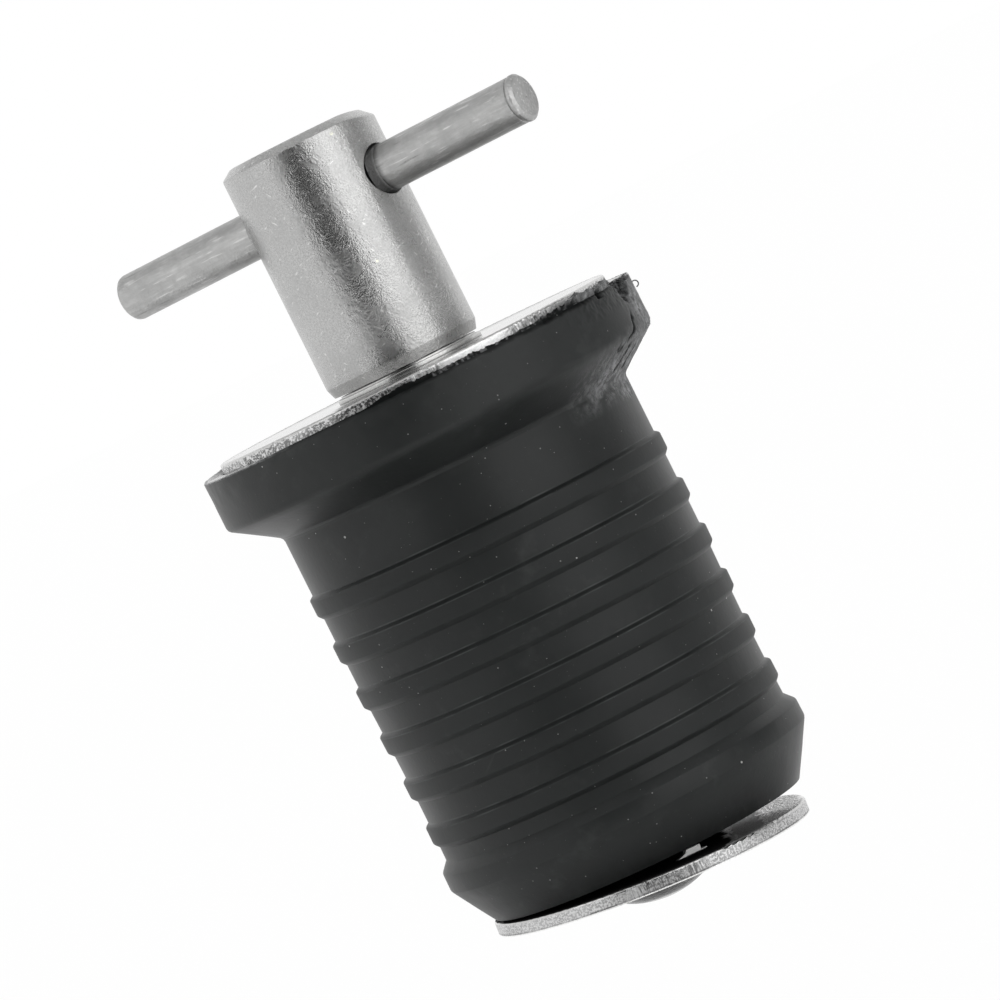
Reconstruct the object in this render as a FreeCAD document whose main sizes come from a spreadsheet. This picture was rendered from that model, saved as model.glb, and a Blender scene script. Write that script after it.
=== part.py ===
"""Expanding drain plug for a boat: a ribbed rubber bung squeezed between two washers by a T-handle.

Frame: millimetres, +Z up along the plug's axis towards the handle. The origin is the centre of the
seat, where the flange's conical underside meets the body that enters the drain tube.
"""
import FreeCAD, Part
import math
import os

import Sketcher

doc = FreeCAD.newDocument("DrainPlug")

# Driving sizes, in millimetres and degrees.
SIZES = [
    # rubber bung
    ("body_radius", 12.1, "plain body of the bung, between the ribs"),
    ("flange_lip", 1.3, "rim of the flange outside the top washer's seat"),
    ("flange_side", 3.4, "straight side of the flange"),
    ("cone_height", 2.1, "conical underside of the flange"),
    ("neck_length", 4.1, "plain neck from the seat to the first rib"),
    ("rib_pitch", 3.24, "from one rib to the next"),
    ("rib_count", 6, "number of sealing ribs"),
    ("rib_foot", 1.7, "width of a rib where it leaves the body"),
    ("rib_crest", 1.0, "width of the flat crest of a rib"),
    ("rib_height", 0.3, "how far a rib stands out of the body"),
    ("shoulder_gap", 0.95, "plain body from the last rib to the sealing shoulder"),
    ("shoulder_rise", 0.67, "length of the slope up to the shoulder's crest"),
    ("shoulder_crest", 1.2, "straight crest of the shoulder, the largest part of the body"),
    ("shoulder_height", 0.57, "how far the shoulder's crest stands out of the body"),
    ("foot_length", 3.18, "tapered foot below the shoulder"),
    ("foot_radius", 10.58, "radius of the bung's lower end"),
    ("foot_slant", 1.3, "degrees by which the lower end is trimmed out of square"),
    ("rubber_round", 0.45, "rounding of the flange's lower corners"),
    ("rib_round", 0.2, "rounding of the ribs' crests"),
    # washers
    ("recess_depth", 0.3, "shallow seat of the top washer in the flange"),
    ("recess_clearance", 0.15, "around the top washer in its seat"),
    ("washer_gauge", 0.93, "sheet thickness of the two large washers"),
    ("top_washer_radius", 13.65, "outer radius of the top washer"),
    ("washer_overhang", 0.12, "how far the bottom washer stands out past the bung's lower end"),
    ("stamp_round", 0.2, "rounded edge that stamping leaves on one face"),
    ("thrust_gauge", 0.4, "thickness of the thrust washer under the handle"),
    ("thrust_overhang", 0.03, "how far the thrust washer stands out past the nut"),
    ("handle_float", 0.1, "play between the thrust washer and the slack handle"),
    # stud
    ("stud_radius", 2.45, "threaded stud"),
    ("stud_play", 0.35, "clearance around the stud in rubber and washers"),
    ("thread_fit", 0.05, "clearance between stud and tapped bore"),
    ("stud_chamfer", 0.5, "lead of the stud's upper end"),
    ("head_lap", 0.85, "how far the stud's domed foot reaches under the bottom washer"),
    ("head_edge", 0.14, "straight edge of the domed foot"),
    ("head_height", 1.44, "whole height of the domed foot"),
    ("flat_depth", 0.45, "how deep each of the two flats is cut into the stud's neck"),
    ("flat_length", 3.0, "length of the two flats"),
    ("draw_travel", 2.4, "how far the stud is drawn up when the bung is tight"),
    ("bore_end_gap", 0.4, "room above the stud in the bore when tight"),
    # bottom washer, which hangs loose and crooked on the stud
    ("hole_play", 0.55, "clearance of the bottom washer's hole around the neck"),
    ("flat_play", 0.45, "clearance at each flat of that hole"),
    ("washer_drift", -0.376, "sideways shift of the hanging washer"),
    ("washer_lean", 4.52, "degrees by which its right side hangs down"),
    ("washer_nod", 0.4, "degrees by which its front side hangs down"),
    ("foot_gap", 0.05, "least gap between the rubber's end and the hanging washer"),
    ("head_gap", 0.05, "least gap between the hanging washer and the stud's foot"),
    ("lug_bearing", 23.0, "degrees that the lug and the flats are turned from the front"),
    ("lug_distance", 7.3, "from the washer's centre to the middle of the lug"),
    ("lug_width", 1.25, "width of the lanced lug"),
    ("lug_height", 0.42, "how far the lug stands up"),
    ("lug_thickness", 0.5, "radial thickness of the lug"),
    ("lug_ramp", 0.65, "slope that is left at one side by the lancing"),
    ("slot_width", 0.35, "slot beside the lug, where it was cut free"),
    # handle
    ("handle_drift", -0.15, "sideways shift of the slack handle and stud in the bung"),
    ("barrel_radius", 5.28, "cylindrical nut of the handle"),
    ("barrel_length", 16.0, "length of the nut"),
    ("top_bevel_in", 0.75, "bevel of the nut's upper edge, inwards"),
    ("top_bevel_down", 0.5, "the same bevel, downwards"),
    ("foot_bevel_in", 0.25, "bevel of the nut's lower edge, inwards"),
    ("foot_bevel_up", 0.7, "the same bevel, upwards"),
    ("edge_round", 0.2, "tumbled rounding of the nut's edges"),
    ("bore_cover", 1.0, "metal between the tapped bore's full depth and the cross hole"),
    ("drill_slope", 15.0, "degrees of the cone that the drill leaves at the end of the bore"),
    ("bore_lead", 0.4, "chamfer at the mouth of the bore"),
    ("pin_drop", 4.28, "cross pin's centre below the nut's top"),
    ("pin_radius", 1.5875, "cross pin"),
    ("pin_length", 32.6, "length of the cross pin"),
    ("pin_play", 0.2, "clearance of the cross hole around the pin's arms"),
    ("pin_grip", 5.0, "swollen middle that grips the hole"),
    ("pin_bearing", 29.5, "degrees that the pin's right arm is turned towards the front"),
    ("pin_tilt", 0.3, "degrees by which the hole was drilled out of square"),
    ("mouth_round", 0.1, "rounded mouth of the cross hole"),
    ("pin_round", 0.4, "rounding of the pin's plain end"),
    ("collar_length", 0.5, "upset rim at the pin's other end"),
    ("collar_step", 0.04, "how far that rim stands out"),
    ("pin_chamfer", 0.16, "chamfer of the upset end"),
]

sheet = doc.addObject("Spreadsheet::Sheet", "Sizes")
for row, (alias, value, meaning) in enumerate(SIZES, start=1):
    sheet.set(f"A{row}", alias)
    sheet.set(f"B{row}", str(value))
    sheet.set(f"C{row}", meaning)
    sheet.setAlias(f"B{row}", alias)
doc.recompute()

# Sizes that follow from the driving ones, as expressions on the sheet.
flange_radius = "(Sizes.top_washer_radius + Sizes.recess_clearance + Sizes.flange_lip)"
shoulder_start = (
    "(Sizes.neck_length + (Sizes.rib_count - 1) * Sizes.rib_pitch + Sizes.rib_foot"
    " + Sizes.shoulder_gap)"
)
shoulder_foot = f"({shoulder_start} + Sizes.shoulder_rise + Sizes.shoulder_crest)"
shoulder_radius = "(Sizes.body_radius + Sizes.shoulder_height)"
bung_depth = f"({shoulder_foot} + Sizes.foot_length)"
flange_top = "(Sizes.flange_side + Sizes.cone_height)"
recess_floor = f"({flange_top} - Sizes.recess_depth)"
top_washer_face = f"({recess_floor} + Sizes.washer_gauge)"
barrel_foot = f"({top_washer_face} + Sizes.thrust_gauge + Sizes.handle_float)"
passage_radius = "(Sizes.stud_radius + Sizes.stud_play)"
pin_height = "(Sizes.barrel_length - Sizes.pin_drop)"
bore_depth = f"({pin_height} - Sizes.pin_radius - Sizes.pin_play - Sizes.bore_cover)"
flat_width = "(2 * (Sizes.stud_radius - Sizes.flat_depth))"
head_radius = "(Sizes.stud_radius + Sizes.hole_play + Sizes.head_lap)"
bottom_washer_radius = "(Sizes.foot_radius + Sizes.washer_overhang)"
lean_slope = "tan(Sizes.washer_lean * 1 deg)"
nod_slope = "tan(Sizes.washer_nod * 1 deg)"
foot_slope = "tan(Sizes.foot_slant * 1 deg)"
closing_slope = f"sqrt(pow({lean_slope} - {foot_slope}; 2) + pow({nod_slope}; 2))"
hanging_slope = f"sqrt(pow({lean_slope}; 2) + pow({nod_slope}; 2))"
washer_centre = (
    f"(-{bung_depth} - Sizes.foot_gap - Sizes.foot_radius * {closing_slope}"
    f" - Sizes.washer_drift * {foot_slope})"
)
head_seat = (
    f"({washer_centre} - Sizes.washer_gauge * sqrt(1 + pow({hanging_slope}; 2))"
    f" + (Sizes.washer_drift - Sizes.handle_drift) * {lean_slope}"
    f" - {head_radius} * {hanging_slope} - Sizes.head_gap)"
)
stud_top = f"({barrel_foot} + {bore_depth} - Sizes.bore_end_gap - Sizes.draw_travel)"


# Drawing helpers.
def new_body(name):
    """A body whose label is the name of its node."""
    body = doc.addObject("PartDesign::Body", name)
    body.Label = name
    return body


def new_sketch(body, name, plane):
    """An empty sketch on one of the body's own origin planes."""
    sketch = body.newObject("Sketcher::SketchObject", name)
    face = next(item for item in body.Origin.OriginFeatures if item.Role == plane)
    sketch.AttachmentSupport = [(face, "")]
    sketch.MapMode = "FlatFace"
    return sketch


def value_of(expression):
    """The number that an expression on the sheet gives now."""
    return float(sheet.evalExpression(expression.replace("Sizes.", "")))


def place_point(sketch, line, end, across, up):
    """Tie one end of a line to its two coordinates."""
    for kind, expression in (("DistanceX", across), ("DistanceY", up)):
        number = value_of(expression)
        index = sketch.addConstraint(Sketcher.Constraint(kind, -1, 1, line, end, number))
        sketch.setExpression(f"Constraints[{index}]", expression)


def draw_outline(sketch, corners):
    """A closed outline of straight lines; each corner is a pair of expressions."""
    points = [FreeCAD.Vector(value_of(across), value_of(up), 0) for across, up in corners]
    first = sketch.GeometryCount
    count = len(points)
    for number in range(count):
        sketch.addGeometry(Part.LineSegment(points[number], points[(number + 1) % count]), False)
    for number in range(count):
        following = first + (number + 1) % count
        sketch.addConstraint(Sketcher.Constraint("Coincident", first + number, 2, following, 1))
    for number, (across, up) in enumerate(corners):
        place_point(sketch, first + number, 1, across, up)


def draw_circle(sketch, radius):
    """A circle about the sketch's origin."""
    circle = Part.Circle(FreeCAD.Vector(0, 0, 0), FreeCAD.Vector(0, 0, 1), value_of(radius))
    number = sketch.addGeometry(circle, False)
    sketch.addConstraint(Sketcher.Constraint("Coincident", number, 3, -1, 1))
    index = sketch.addConstraint(Sketcher.Constraint("Radius", number, value_of(radius)))
    sketch.setExpression(f"Constraints[{index}]", radius)


def revolve(body, name, sketch, axis):
    """A full turn of a sketch about one of its own axes."""
    feature = body.newObject("PartDesign::Revolution", name)
    feature.Profile = sketch
    feature.ReferenceAxis = (sketch, [axis])
    feature.Angle = 360
    doc.recompute()
    return feature


def pad(body, name, sketch, length, reverse=False):
    """A sketch thickened by a length from the sheet."""
    feature = body.newObject("PartDesign::Pad", name)
    feature.Profile = sketch
    feature.setExpression("Length", length)
    feature.Reversed = reverse
    doc.recompute()
    return feature


def cut_through(body, name, sketch):
    """A pocket through everything, to both sides of its sketch."""
    feature = body.newObject("PartDesign::Pocket", name)
    feature.Profile = sketch
    feature.Type = "ThroughAll"
    feature.SideType = "Symmetric"
    doc.recompute()
    return feature


def round_edges(body, name, base, wanted, radius):
    """Fillet every edge of the base that the test accepts."""
    names = [f"Edge{i}" for i, edge in enumerate(base.Shape.Edges, start=1) if wanted(edge)]
    if not names:
        raise RuntimeError(f"{name}: no edge to round")
    feature = body.newObject("PartDesign::Fillet", name)
    feature.Base = (base, names)
    feature.setExpression("Radius", radius)
    doc.recompute()
    return feature


def ring_edge(radius, height=None):
    """A test for full circles about Z with this radius, at this height if one is given."""
    def wanted(edge):
        curve = edge.Curve
        if not isinstance(curve, Part.Circle) or abs(curve.Radius - radius) > 1e-4:
            return False
        return height is None or abs(curve.Center.z - height) < 1e-4
    return wanted


# Rubber bung.
# One turned outline gives the flange, the plain body, the shoulder and the bore for the stud.
rubber = new_body("rubber_plug")
outline = new_sketch(rubber, "BungOutline", "XZ_Plane")
draw_outline(outline, [
    (passage_radius, recess_floor),
    ("Sizes.top_washer_radius + Sizes.recess_clearance", recess_floor),
    ("Sizes.top_washer_radius + Sizes.recess_clearance", flange_top),
    (flange_radius, flange_top),
    (flange_radius, "Sizes.cone_height"),
    ("Sizes.body_radius", "0"),
    ("Sizes.body_radius", f"-{shoulder_start}"),
    (shoulder_radius, f"-{shoulder_start} - Sizes.shoulder_rise"),
    (shoulder_radius, f"-{shoulder_foot}"),
    ("Sizes.foot_radius", f"-{bung_depth} - Sizes.foot_radius * {foot_slope}"),
    (passage_radius, f"-{bung_depth} - Sizes.foot_radius * {foot_slope}"),
])
bung = revolve(rubber, "Bung", outline, "V_Axis")

# One sealing ridge, repeated down the body.
ridge = new_sketch(rubber, "RibOutline", "XZ_Plane")
rib_slope = "(Sizes.rib_foot - Sizes.rib_crest) / 2"
draw_outline(ridge, [
    ("Sizes.body_radius - Sizes.rib_foot", "-Sizes.neck_length"),
    ("Sizes.body_radius", "-Sizes.neck_length"),
    ("Sizes.body_radius + Sizes.rib_height", f"-Sizes.neck_length - {rib_slope}"),
    ("Sizes.body_radius + Sizes.rib_height", f"-Sizes.neck_length - {rib_slope} - Sizes.rib_crest"),
    ("Sizes.body_radius", "-Sizes.neck_length - Sizes.rib_foot"),
    ("Sizes.body_radius - Sizes.rib_foot", "-Sizes.neck_length - Sizes.rib_foot"),
])
rib = revolve(rubber, "Rib", ridge, "V_Axis")
ribs = rubber.newObject("PartDesign::LinearPattern", "Ribs")
ribs.Originals = [rib]
ribs.Direction = (ridge, ["V_Axis"])
ribs.Reversed = True
ribs.setExpression("Length", "(Sizes.rib_count - 1) * Sizes.rib_pitch")
ribs.setExpression("Occurrences", "Sizes.rib_count")
rubber.Tip = ribs
doc.recompute()

# The lower end is trimmed a little out of square.
trim = new_sketch(rubber, "FootTrim", "XZ_Plane")
reach = "(2 * Sizes.foot_radius)"
draw_outline(trim, [
    (f"-{reach}", f"-{bung_depth} + {reach} * {foot_slope}"),
    (reach, f"-{bung_depth} - {reach} * {foot_slope}"),
    (reach, f"-{bung_depth} - {reach}"),
    (f"-{reach}", f"-{bung_depth} - {reach}"),
])
trimmed = cut_through(rubber, "TrimmedFoot", trim)
crest_radius = value_of("Sizes.body_radius + Sizes.rib_height")
soft_ribs = round_edges(rubber, "RoundedRibs", trimmed, ring_edge(crest_radius), "Sizes.rib_round")
flange_corner = ring_edge(value_of(flange_radius), value_of("Sizes.cone_height"))
seat_corner = ring_edge(value_of("Sizes.body_radius"), 0)
soft_flange = round_edges(
    rubber, "RoundedFlange", soft_ribs,
    lambda edge: flange_corner(edge) or seat_corner(edge), "Sizes.rubber_round",
)

# Top washer, in its shallow seat on the flange.
top_washer = new_body("top_washer")
disc = new_sketch(top_washer, "TopDisc", "XY_Plane")
draw_circle(disc, "Sizes.top_washer_radius")
draw_circle(disc, passage_radius)
plate = pad(top_washer, "TopPlate", disc, "Sizes.washer_gauge")
round_edges(
    top_washer, "TopStampedEdge", plate,
    ring_edge(value_of("Sizes.top_washer_radius"), value_of("Sizes.washer_gauge")), "Sizes.stamp_round",
)
top_washer.setExpression("Placement.Base.z", recess_floor)

# Thrust washer, between the top washer and the handle.
thrust_washer = new_body("thrust_washer")
ring = new_sketch(thrust_washer, "ThrustDisc", "XY_Plane")
draw_circle(ring, "Sizes.barrel_radius + Sizes.thrust_overhang")
draw_circle(ring, passage_radius)
pad(thrust_washer, "ThrustPlate", ring, "Sizes.thrust_gauge")
thrust_washer.setExpression("Placement.Base.z", top_washer_face)

# Handle nut. It stands on its own foot; its X axis is the direction of the cross pin.
barrel = new_body("handle_barrel")
turned = new_sketch(barrel, "NutOutline", "XZ_Plane")
draw_outline(turned, [
    ("0", "0"),
    ("Sizes.barrel_radius - Sizes.foot_bevel_in", "0"),
    ("Sizes.barrel_radius", "Sizes.foot_bevel_up"),
    ("Sizes.barrel_radius", "Sizes.barrel_length - Sizes.top_bevel_down"),
    ("Sizes.barrel_radius - Sizes.top_bevel_in", "Sizes.barrel_length"),
    ("0", "Sizes.barrel_length"),
])
nut = revolve(barrel, "Nut", turned, "V_Axis")
nut_edges = [
    ring_edge(value_of("Sizes.barrel_radius"), value_of("Sizes.barrel_length - Sizes.top_bevel_down")),
    ring_edge(value_of("Sizes.barrel_radius - Sizes.top_bevel_in"), value_of("Sizes.barrel_length")),
    ring_edge(value_of("Sizes.barrel_radius"), value_of("Sizes.foot_bevel_up")),
]
tumbled = round_edges(
    barrel, "TumbledEdges", nut,
    lambda edge: any(test(edge) for test in nut_edges), "Sizes.edge_round",
)

# The blind tapped bore, with a lead at its mouth and the cone that the drill leaves.
bore = new_sketch(barrel, "BoreOutline", "XZ_Plane")
bore_radius = "(Sizes.stud_radius + Sizes.thread_fit)"
draw_outline(bore, [
    ("0", "0"),
    (f"{bore_radius} + Sizes.bore_lead", "0"),
    (bore_radius, "Sizes.bore_lead"),
    (bore_radius, bore_depth),
    ("0", f"{bore_depth} + {bore_radius} * tan(Sizes.drill_slope * 1 deg)"),
])
drilled = barrel.newObject("PartDesign::Groove", "TappedBore")
drilled.Profile = bore
drilled.ReferenceAxis = (bore, ["V_Axis"])
drilled.Angle = 360
doc.recompute()

# The cross hole, a little out of square, with its mouths rounded.
cross = new_sketch(barrel, "CrossHoleOutline", "YZ_Plane")
draw_circle(cross, "Sizes.pin_radius + Sizes.pin_play")
cross.AttachmentOffset = FreeCAD.Placement(
    FreeCAD.Vector(0, 1, 0), FreeCAD.Rotation(FreeCAD.Vector(-1, 0, 0), 1)
)
cross.setExpression("AttachmentOffset.Base.y", pin_height)
cross.setExpression("AttachmentOffset.Rotation.Angle", "Sizes.pin_tilt")
cross_hole = cut_through(barrel, "CrossHole", cross)


def hole_mouth(edge):
    """An edge of the cross hole on the nut's outer wall."""
    if isinstance(edge.Curve, (Part.Circle, Part.Line)):
        return False
    samples = edge.discretize(7)
    radius = value_of("Sizes.barrel_radius")
    return all(abs(math.hypot(point.x, point.y) - radius) < 1e-3 for point in samples)


round_edges(barrel, "RoundedMouths", cross_hole, hole_mouth, "Sizes.mouth_round")
barrel.Placement = FreeCAD.Placement(
    FreeCAD.Vector(0, 0, 0), FreeCAD.Rotation(FreeCAD.Vector(0, 0, -1), 1)
)
barrel.setExpression("Placement.Base.x", "Sizes.handle_drift")
barrel.setExpression("Placement.Base.z", barrel_foot)
barrel.setExpression("Placement.Rotation.Angle", "Sizes.pin_bearing")

# Cross pin, turned about its own X axis: a plain rod, swollen in the middle, with one upset end.
pin = new_body("cross_pin")
rod = new_sketch(pin, "PinOutline", "XZ_Plane")
half = "Sizes.pin_length / 2"
grip_radius = "Sizes.pin_radius + Sizes.pin_play"
collar_radius = "Sizes.pin_radius + Sizes.collar_step"
draw_outline(rod, [
    (f"-{half}", "0"),
    (f"-{half}", "Sizes.pin_radius"),
    ("-Sizes.pin_grip / 2", "Sizes.pin_radius"),
    ("-Sizes.pin_grip / 2", grip_radius),
    ("Sizes.pin_grip / 2", grip_radius),
    ("Sizes.pin_grip / 2", "Sizes.pin_radius"),
    (f"{half} - Sizes.collar_length", "Sizes.pin_radius"),
    (f"{half} - Sizes.collar_length", collar_radius),
    (f"{half} - Sizes.pin_chamfer", collar_radius),
    (half, f"{collar_radius} - Sizes.pin_chamfer"),
    (half, "0"),
])
turned_pin = revolve(pin, "Rod", rod, "H_Axis")


def plain_end(edge):
    """The edge round the pin's plain end."""
    return isinstance(edge.Curve, Part.Circle) and edge.Curve.Center.x < -value_of(half) + 1e-4


round_edges(pin, "RoundedEnd", turned_pin, plain_end, "Sizes.pin_round")
pin.setExpression(
    "Placement",
    f"placement(vector(Sizes.handle_drift; 0; {barrel_foot} + {pin_height});"
    " rotationz(-Sizes.pin_bearing) * rotationy(-Sizes.pin_tilt))",
)

# Stud. Its origin is the flat seat of the domed foot; the flats of the neck face the body's Y axis.
stud = new_body("stud")
shank = new_sketch(stud, "ShankOutline", "XZ_Plane")
draw_outline(shank, [
    ("0", "-Sizes.head_edge"),
    (head_radius, "-Sizes.head_edge"),
    (head_radius, "0"),
    ("Sizes.stud_radius", "0"),
    ("Sizes.stud_radius", f"{stud_top} - {head_seat} - Sizes.stud_chamfer"),
    ("Sizes.stud_radius - Sizes.stud_chamfer", f"{stud_top} - {head_seat}"),
    ("0", f"{stud_top} - {head_seat}"),
])
revolve(stud, "Shank", shank, "V_Axis")

# The dome is a cap of one large sphere, closed by the foot's lower face.
dome_rise = "(Sizes.head_height - Sizes.head_edge)"
dome_radius = f"((pow({head_radius}; 2) + pow({dome_rise}; 2)) / (2 * {dome_rise}))"
dome = new_sketch(stud, "DomeOutline", "XZ_Plane")
rim = FreeCAD.Vector(value_of(head_radius), value_of("-Sizes.head_edge"), 0)
pole = FreeCAD.Vector(0, value_of("-Sizes.head_height"), 0)
middle = FreeCAD.Vector(0, value_of(f"{dome_radius} - Sizes.head_height"), 0)
start = math.atan2(pole.y - middle.y, pole.x - middle.x)
finish = math.atan2(rim.y - middle.y, rim.x - middle.x)
ball = Part.Circle(middle, FreeCAD.Vector(0, 0, 1), value_of(dome_radius))
dome.addGeometry(Part.ArcOfCircle(ball, start, finish), False)
dome.addGeometry(Part.LineSegment(rim, FreeCAD.Vector(0, rim.y, 0)), False)
dome.addGeometry(Part.LineSegment(FreeCAD.Vector(0, rim.y, 0), pole), False)
dome.addConstraint(Sketcher.Constraint("Coincident", 0, 2, 1, 1))
dome.addConstraint(Sketcher.Constraint("Coincident", 1, 2, 2, 1))
dome.addConstraint(Sketcher.Constraint("Coincident", 2, 2, 0, 1))
dome.addConstraint(Sketcher.Constraint("PointOnObject", 0, 3, -2))
place_point(dome, 0, 1, "0", "-Sizes.head_height")
place_point(dome, 1, 1, head_radius, "-Sizes.head_edge")
place_point(dome, 1, 2, "0", "-Sizes.head_edge")
cap = revolve(stud, "Dome", dome, "V_Axis")

# Two flats keep the bottom washer from turning on the neck.
flats = new_sketch(stud, "FlatsOutline", "YZ_Plane")
outer = "(2 * Sizes.stud_radius)"
for side in ("-1", "1"):
    draw_outline(flats, [
        (f"{side} * {flat_width} / 2", "0"),
        (f"{side} * {outer}", "0"),
        (f"{side} * {outer}", "Sizes.flat_length"),
        (f"{side} * {flat_width} / 2", "Sizes.flat_length"),
    ])
cut_through(stud, "NeckFlats", flats)
stud.Placement = FreeCAD.Placement(
    FreeCAD.Vector(0, 0, 0), FreeCAD.Rotation(FreeCAD.Vector(0, 0, 1), 1)
)
stud.setExpression("Placement.Base.x", "Sizes.handle_drift")
stud.setExpression("Placement.Base.z", head_seat)
stud.setExpression("Placement.Rotation.Angle", "Sizes.lug_bearing")

# Bottom washer. Its origin is the centre of its upper face, and its lug stands on its front side.
bottom_washer = new_body("bottom_washer")
blank = new_sketch(bottom_washer, "BottomDisc", "XY_Plane")
draw_circle(blank, bottom_washer_radius)
blanked = pad(bottom_washer, "BottomPlate", blank, "Sizes.washer_gauge", reverse=True)
rolled = round_edges(
    bottom_washer, "BottomStampedEdge", blanked,
    ring_edge(value_of(bottom_washer_radius), 0), "Sizes.stamp_round",
)

# A round hole with two flats, which follows the neck.
keyhole = new_sketch(bottom_washer, "KeyedHole", "XY_Plane")
hole_radius = value_of("Sizes.stud_radius + Sizes.hole_play")
hole_flat = value_of(f"{flat_width} / 2 + Sizes.flat_play")
corner = math.asin(hole_flat / hole_radius)
round_hole = Part.Circle(FreeCAD.Vector(0, 0, 0), FreeCAD.Vector(0, 0, 1), hole_radius)
run = hole_radius * math.cos(corner)
keyhole.addGeometry(Part.ArcOfCircle(round_hole, -corner, corner), False)
keyhole.addGeometry(
    Part.LineSegment(FreeCAD.Vector(run, hole_flat, 0), FreeCAD.Vector(-run, hole_flat, 0)), False
)
keyhole.addGeometry(Part.ArcOfCircle(round_hole, math.pi - corner, math.pi + corner), False)
keyhole.addGeometry(
    Part.LineSegment(FreeCAD.Vector(-run, -hole_flat, 0), FreeCAD.Vector(run, -hole_flat, 0)), False
)
for number in range(4):
    keyhole.addConstraint(Sketcher.Constraint("Coincident", number, 2, (number + 1) % 4, 1))
for number in (0, 2):
    keyhole.addConstraint(Sketcher.Constraint("Coincident", number, 3, -1, 1))
for number in (1, 3):
    keyhole.addConstraint(Sketcher.Constraint("Horizontal", number))
keyhole.addConstraint(Sketcher.Constraint("Equal", 0, 2))
index = keyhole.addConstraint(Sketcher.Constraint("Radius", 0, hole_radius))
keyhole.setExpression(f"Constraints[{index}]", "Sizes.stud_radius + Sizes.hole_play")
for line, sign in ((1, ""), (3, "-")):
    distance = f"{sign}({flat_width} / 2 + Sizes.flat_play)"
    index = keyhole.addConstraint(Sketcher.Constraint("DistanceY", -1, 1, line, 1, value_of(distance)))
    keyhole.setExpression(f"Constraints[{index}]", distance)
cut_through(bottom_washer, "Keyhole", keyhole)

# The lanced lug that bites the rubber, and the slot where it was cut free.
lug_front = "(Sizes.lug_distance + Sizes.lug_thickness / 2)"
lug_left = "(-Sizes.lug_width / 2)"
lug_right = "(Sizes.lug_width / 2)"
slot = new_sketch(bottom_washer, "LugSlot", "XY_Plane")
draw_outline(slot, [
    (f"{lug_left} - Sizes.lug_ramp", f"-{lug_front}"),
    (lug_right, f"-{lug_front}"),
    (lug_right, f"-{lug_front} - Sizes.slot_width"),
    (f"{lug_left} - Sizes.lug_ramp", f"-{lug_front} - Sizes.slot_width"),
])
cut_through(bottom_washer, "SlotBesideLug", slot)
lug = new_sketch(bottom_washer, "LugOutline", "XZ_Plane")
lug.AttachmentOffset = FreeCAD.Placement(FreeCAD.Vector(0, 0, 1), FreeCAD.Rotation())
lug.setExpression("AttachmentOffset.Base.z", f"{lug_front} - Sizes.lug_thickness")
draw_outline(lug, [
    (f"{lug_left} - Sizes.lug_ramp", "-Sizes.washer_gauge / 2"),
    (f"{lug_left} - Sizes.lug_ramp", "0"),
    (lug_left, "Sizes.lug_height"),
    (lug_right, "Sizes.lug_height"),
    (lug_right, "-Sizes.washer_gauge / 2"),
])
pad(bottom_washer, "Lug", lug, "Sizes.lug_thickness")
bottom_washer.setExpression(
    "Placement",
    f"placement(vector(Sizes.washer_drift; 0; {washer_centre});"
    " rotationy(Sizes.washer_lean) * rotationx(Sizes.washer_nod) * rotationz(Sizes.lug_bearing))",
)
doc.recompute()

# Every feature and every piece is tested before the files are written.
pieces = [rubber, top_washer, thrust_washer, barrel, pin, stud, bottom_washer]
for item in doc.Objects:
    if "Invalid" in item.State or "Error" in item.State:
        raise RuntimeError(f"{item.Name} failed: {item.State}")
for piece in pieces:
    shape = piece.Shape
    if shape.isNull() or not shape.isValid() or len(shape.Solids) != 1:
        raise RuntimeError(f"{piece.Label} is not one valid solid")
    box = shape.BoundBox
    print(
        f"{piece.Label}: {shape.Volume:.2f} mm3,"
        f" x {box.XMin:.2f}..{box.XMax:.2f}, y {box.YMin:.2f}..{box.YMax:.2f},"
        f" z {box.ZMin:.2f}..{box.ZMax:.2f}"
    )

os.makedirs("parts", exist_ok=True)
for piece in pieces:
    piece.Shape.exportStep(f"parts/{piece.Label}.step")
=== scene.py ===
# %% [markdown]
# # An expanding drain plug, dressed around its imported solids
# The plug is a ribbed rubber bung between two steel washers. A T-shaped handle draws a stud up
# through it, so that the rubber swells in a boat's drain tube. Each of the seven solids gets a
# visible piece. The bung, the two upper washers and the pin are spun again from their outlines,
# because torn rubber, sheared rims and an upset end are more than plain solids show. The nut, the
# stud and the bottom washer keep the meshes of their solids, with a few points moved.

# %% Load the frame
import math

import bmesh
import bpy
from mathutils import Euler, Matrix, Vector, noise


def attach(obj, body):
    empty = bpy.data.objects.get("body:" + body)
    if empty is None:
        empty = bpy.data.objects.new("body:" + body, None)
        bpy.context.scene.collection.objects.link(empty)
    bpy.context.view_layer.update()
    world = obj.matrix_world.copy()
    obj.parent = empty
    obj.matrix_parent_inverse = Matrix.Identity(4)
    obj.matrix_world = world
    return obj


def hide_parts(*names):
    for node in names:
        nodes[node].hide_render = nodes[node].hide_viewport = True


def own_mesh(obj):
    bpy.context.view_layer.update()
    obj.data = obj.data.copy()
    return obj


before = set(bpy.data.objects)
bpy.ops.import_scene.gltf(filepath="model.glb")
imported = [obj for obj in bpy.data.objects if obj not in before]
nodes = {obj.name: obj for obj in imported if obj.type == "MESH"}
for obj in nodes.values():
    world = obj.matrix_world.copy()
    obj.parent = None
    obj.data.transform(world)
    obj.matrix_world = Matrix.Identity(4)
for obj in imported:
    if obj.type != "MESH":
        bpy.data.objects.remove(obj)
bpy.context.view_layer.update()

MM = 0.001
print("pieces:", ", ".join(sorted(nodes)))

# %% [markdown]
# ## The camera
# The plug stands upright in the frame, and the photograph leans it over. The lean is only a roll
# of the camera about its own line of sight, so nothing on the object has to turn. The camera is
# forty centimetres away and stands level with the cross pin's foot, so the large washer is seen
# almost edge-on and the lower one from a little above.

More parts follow.
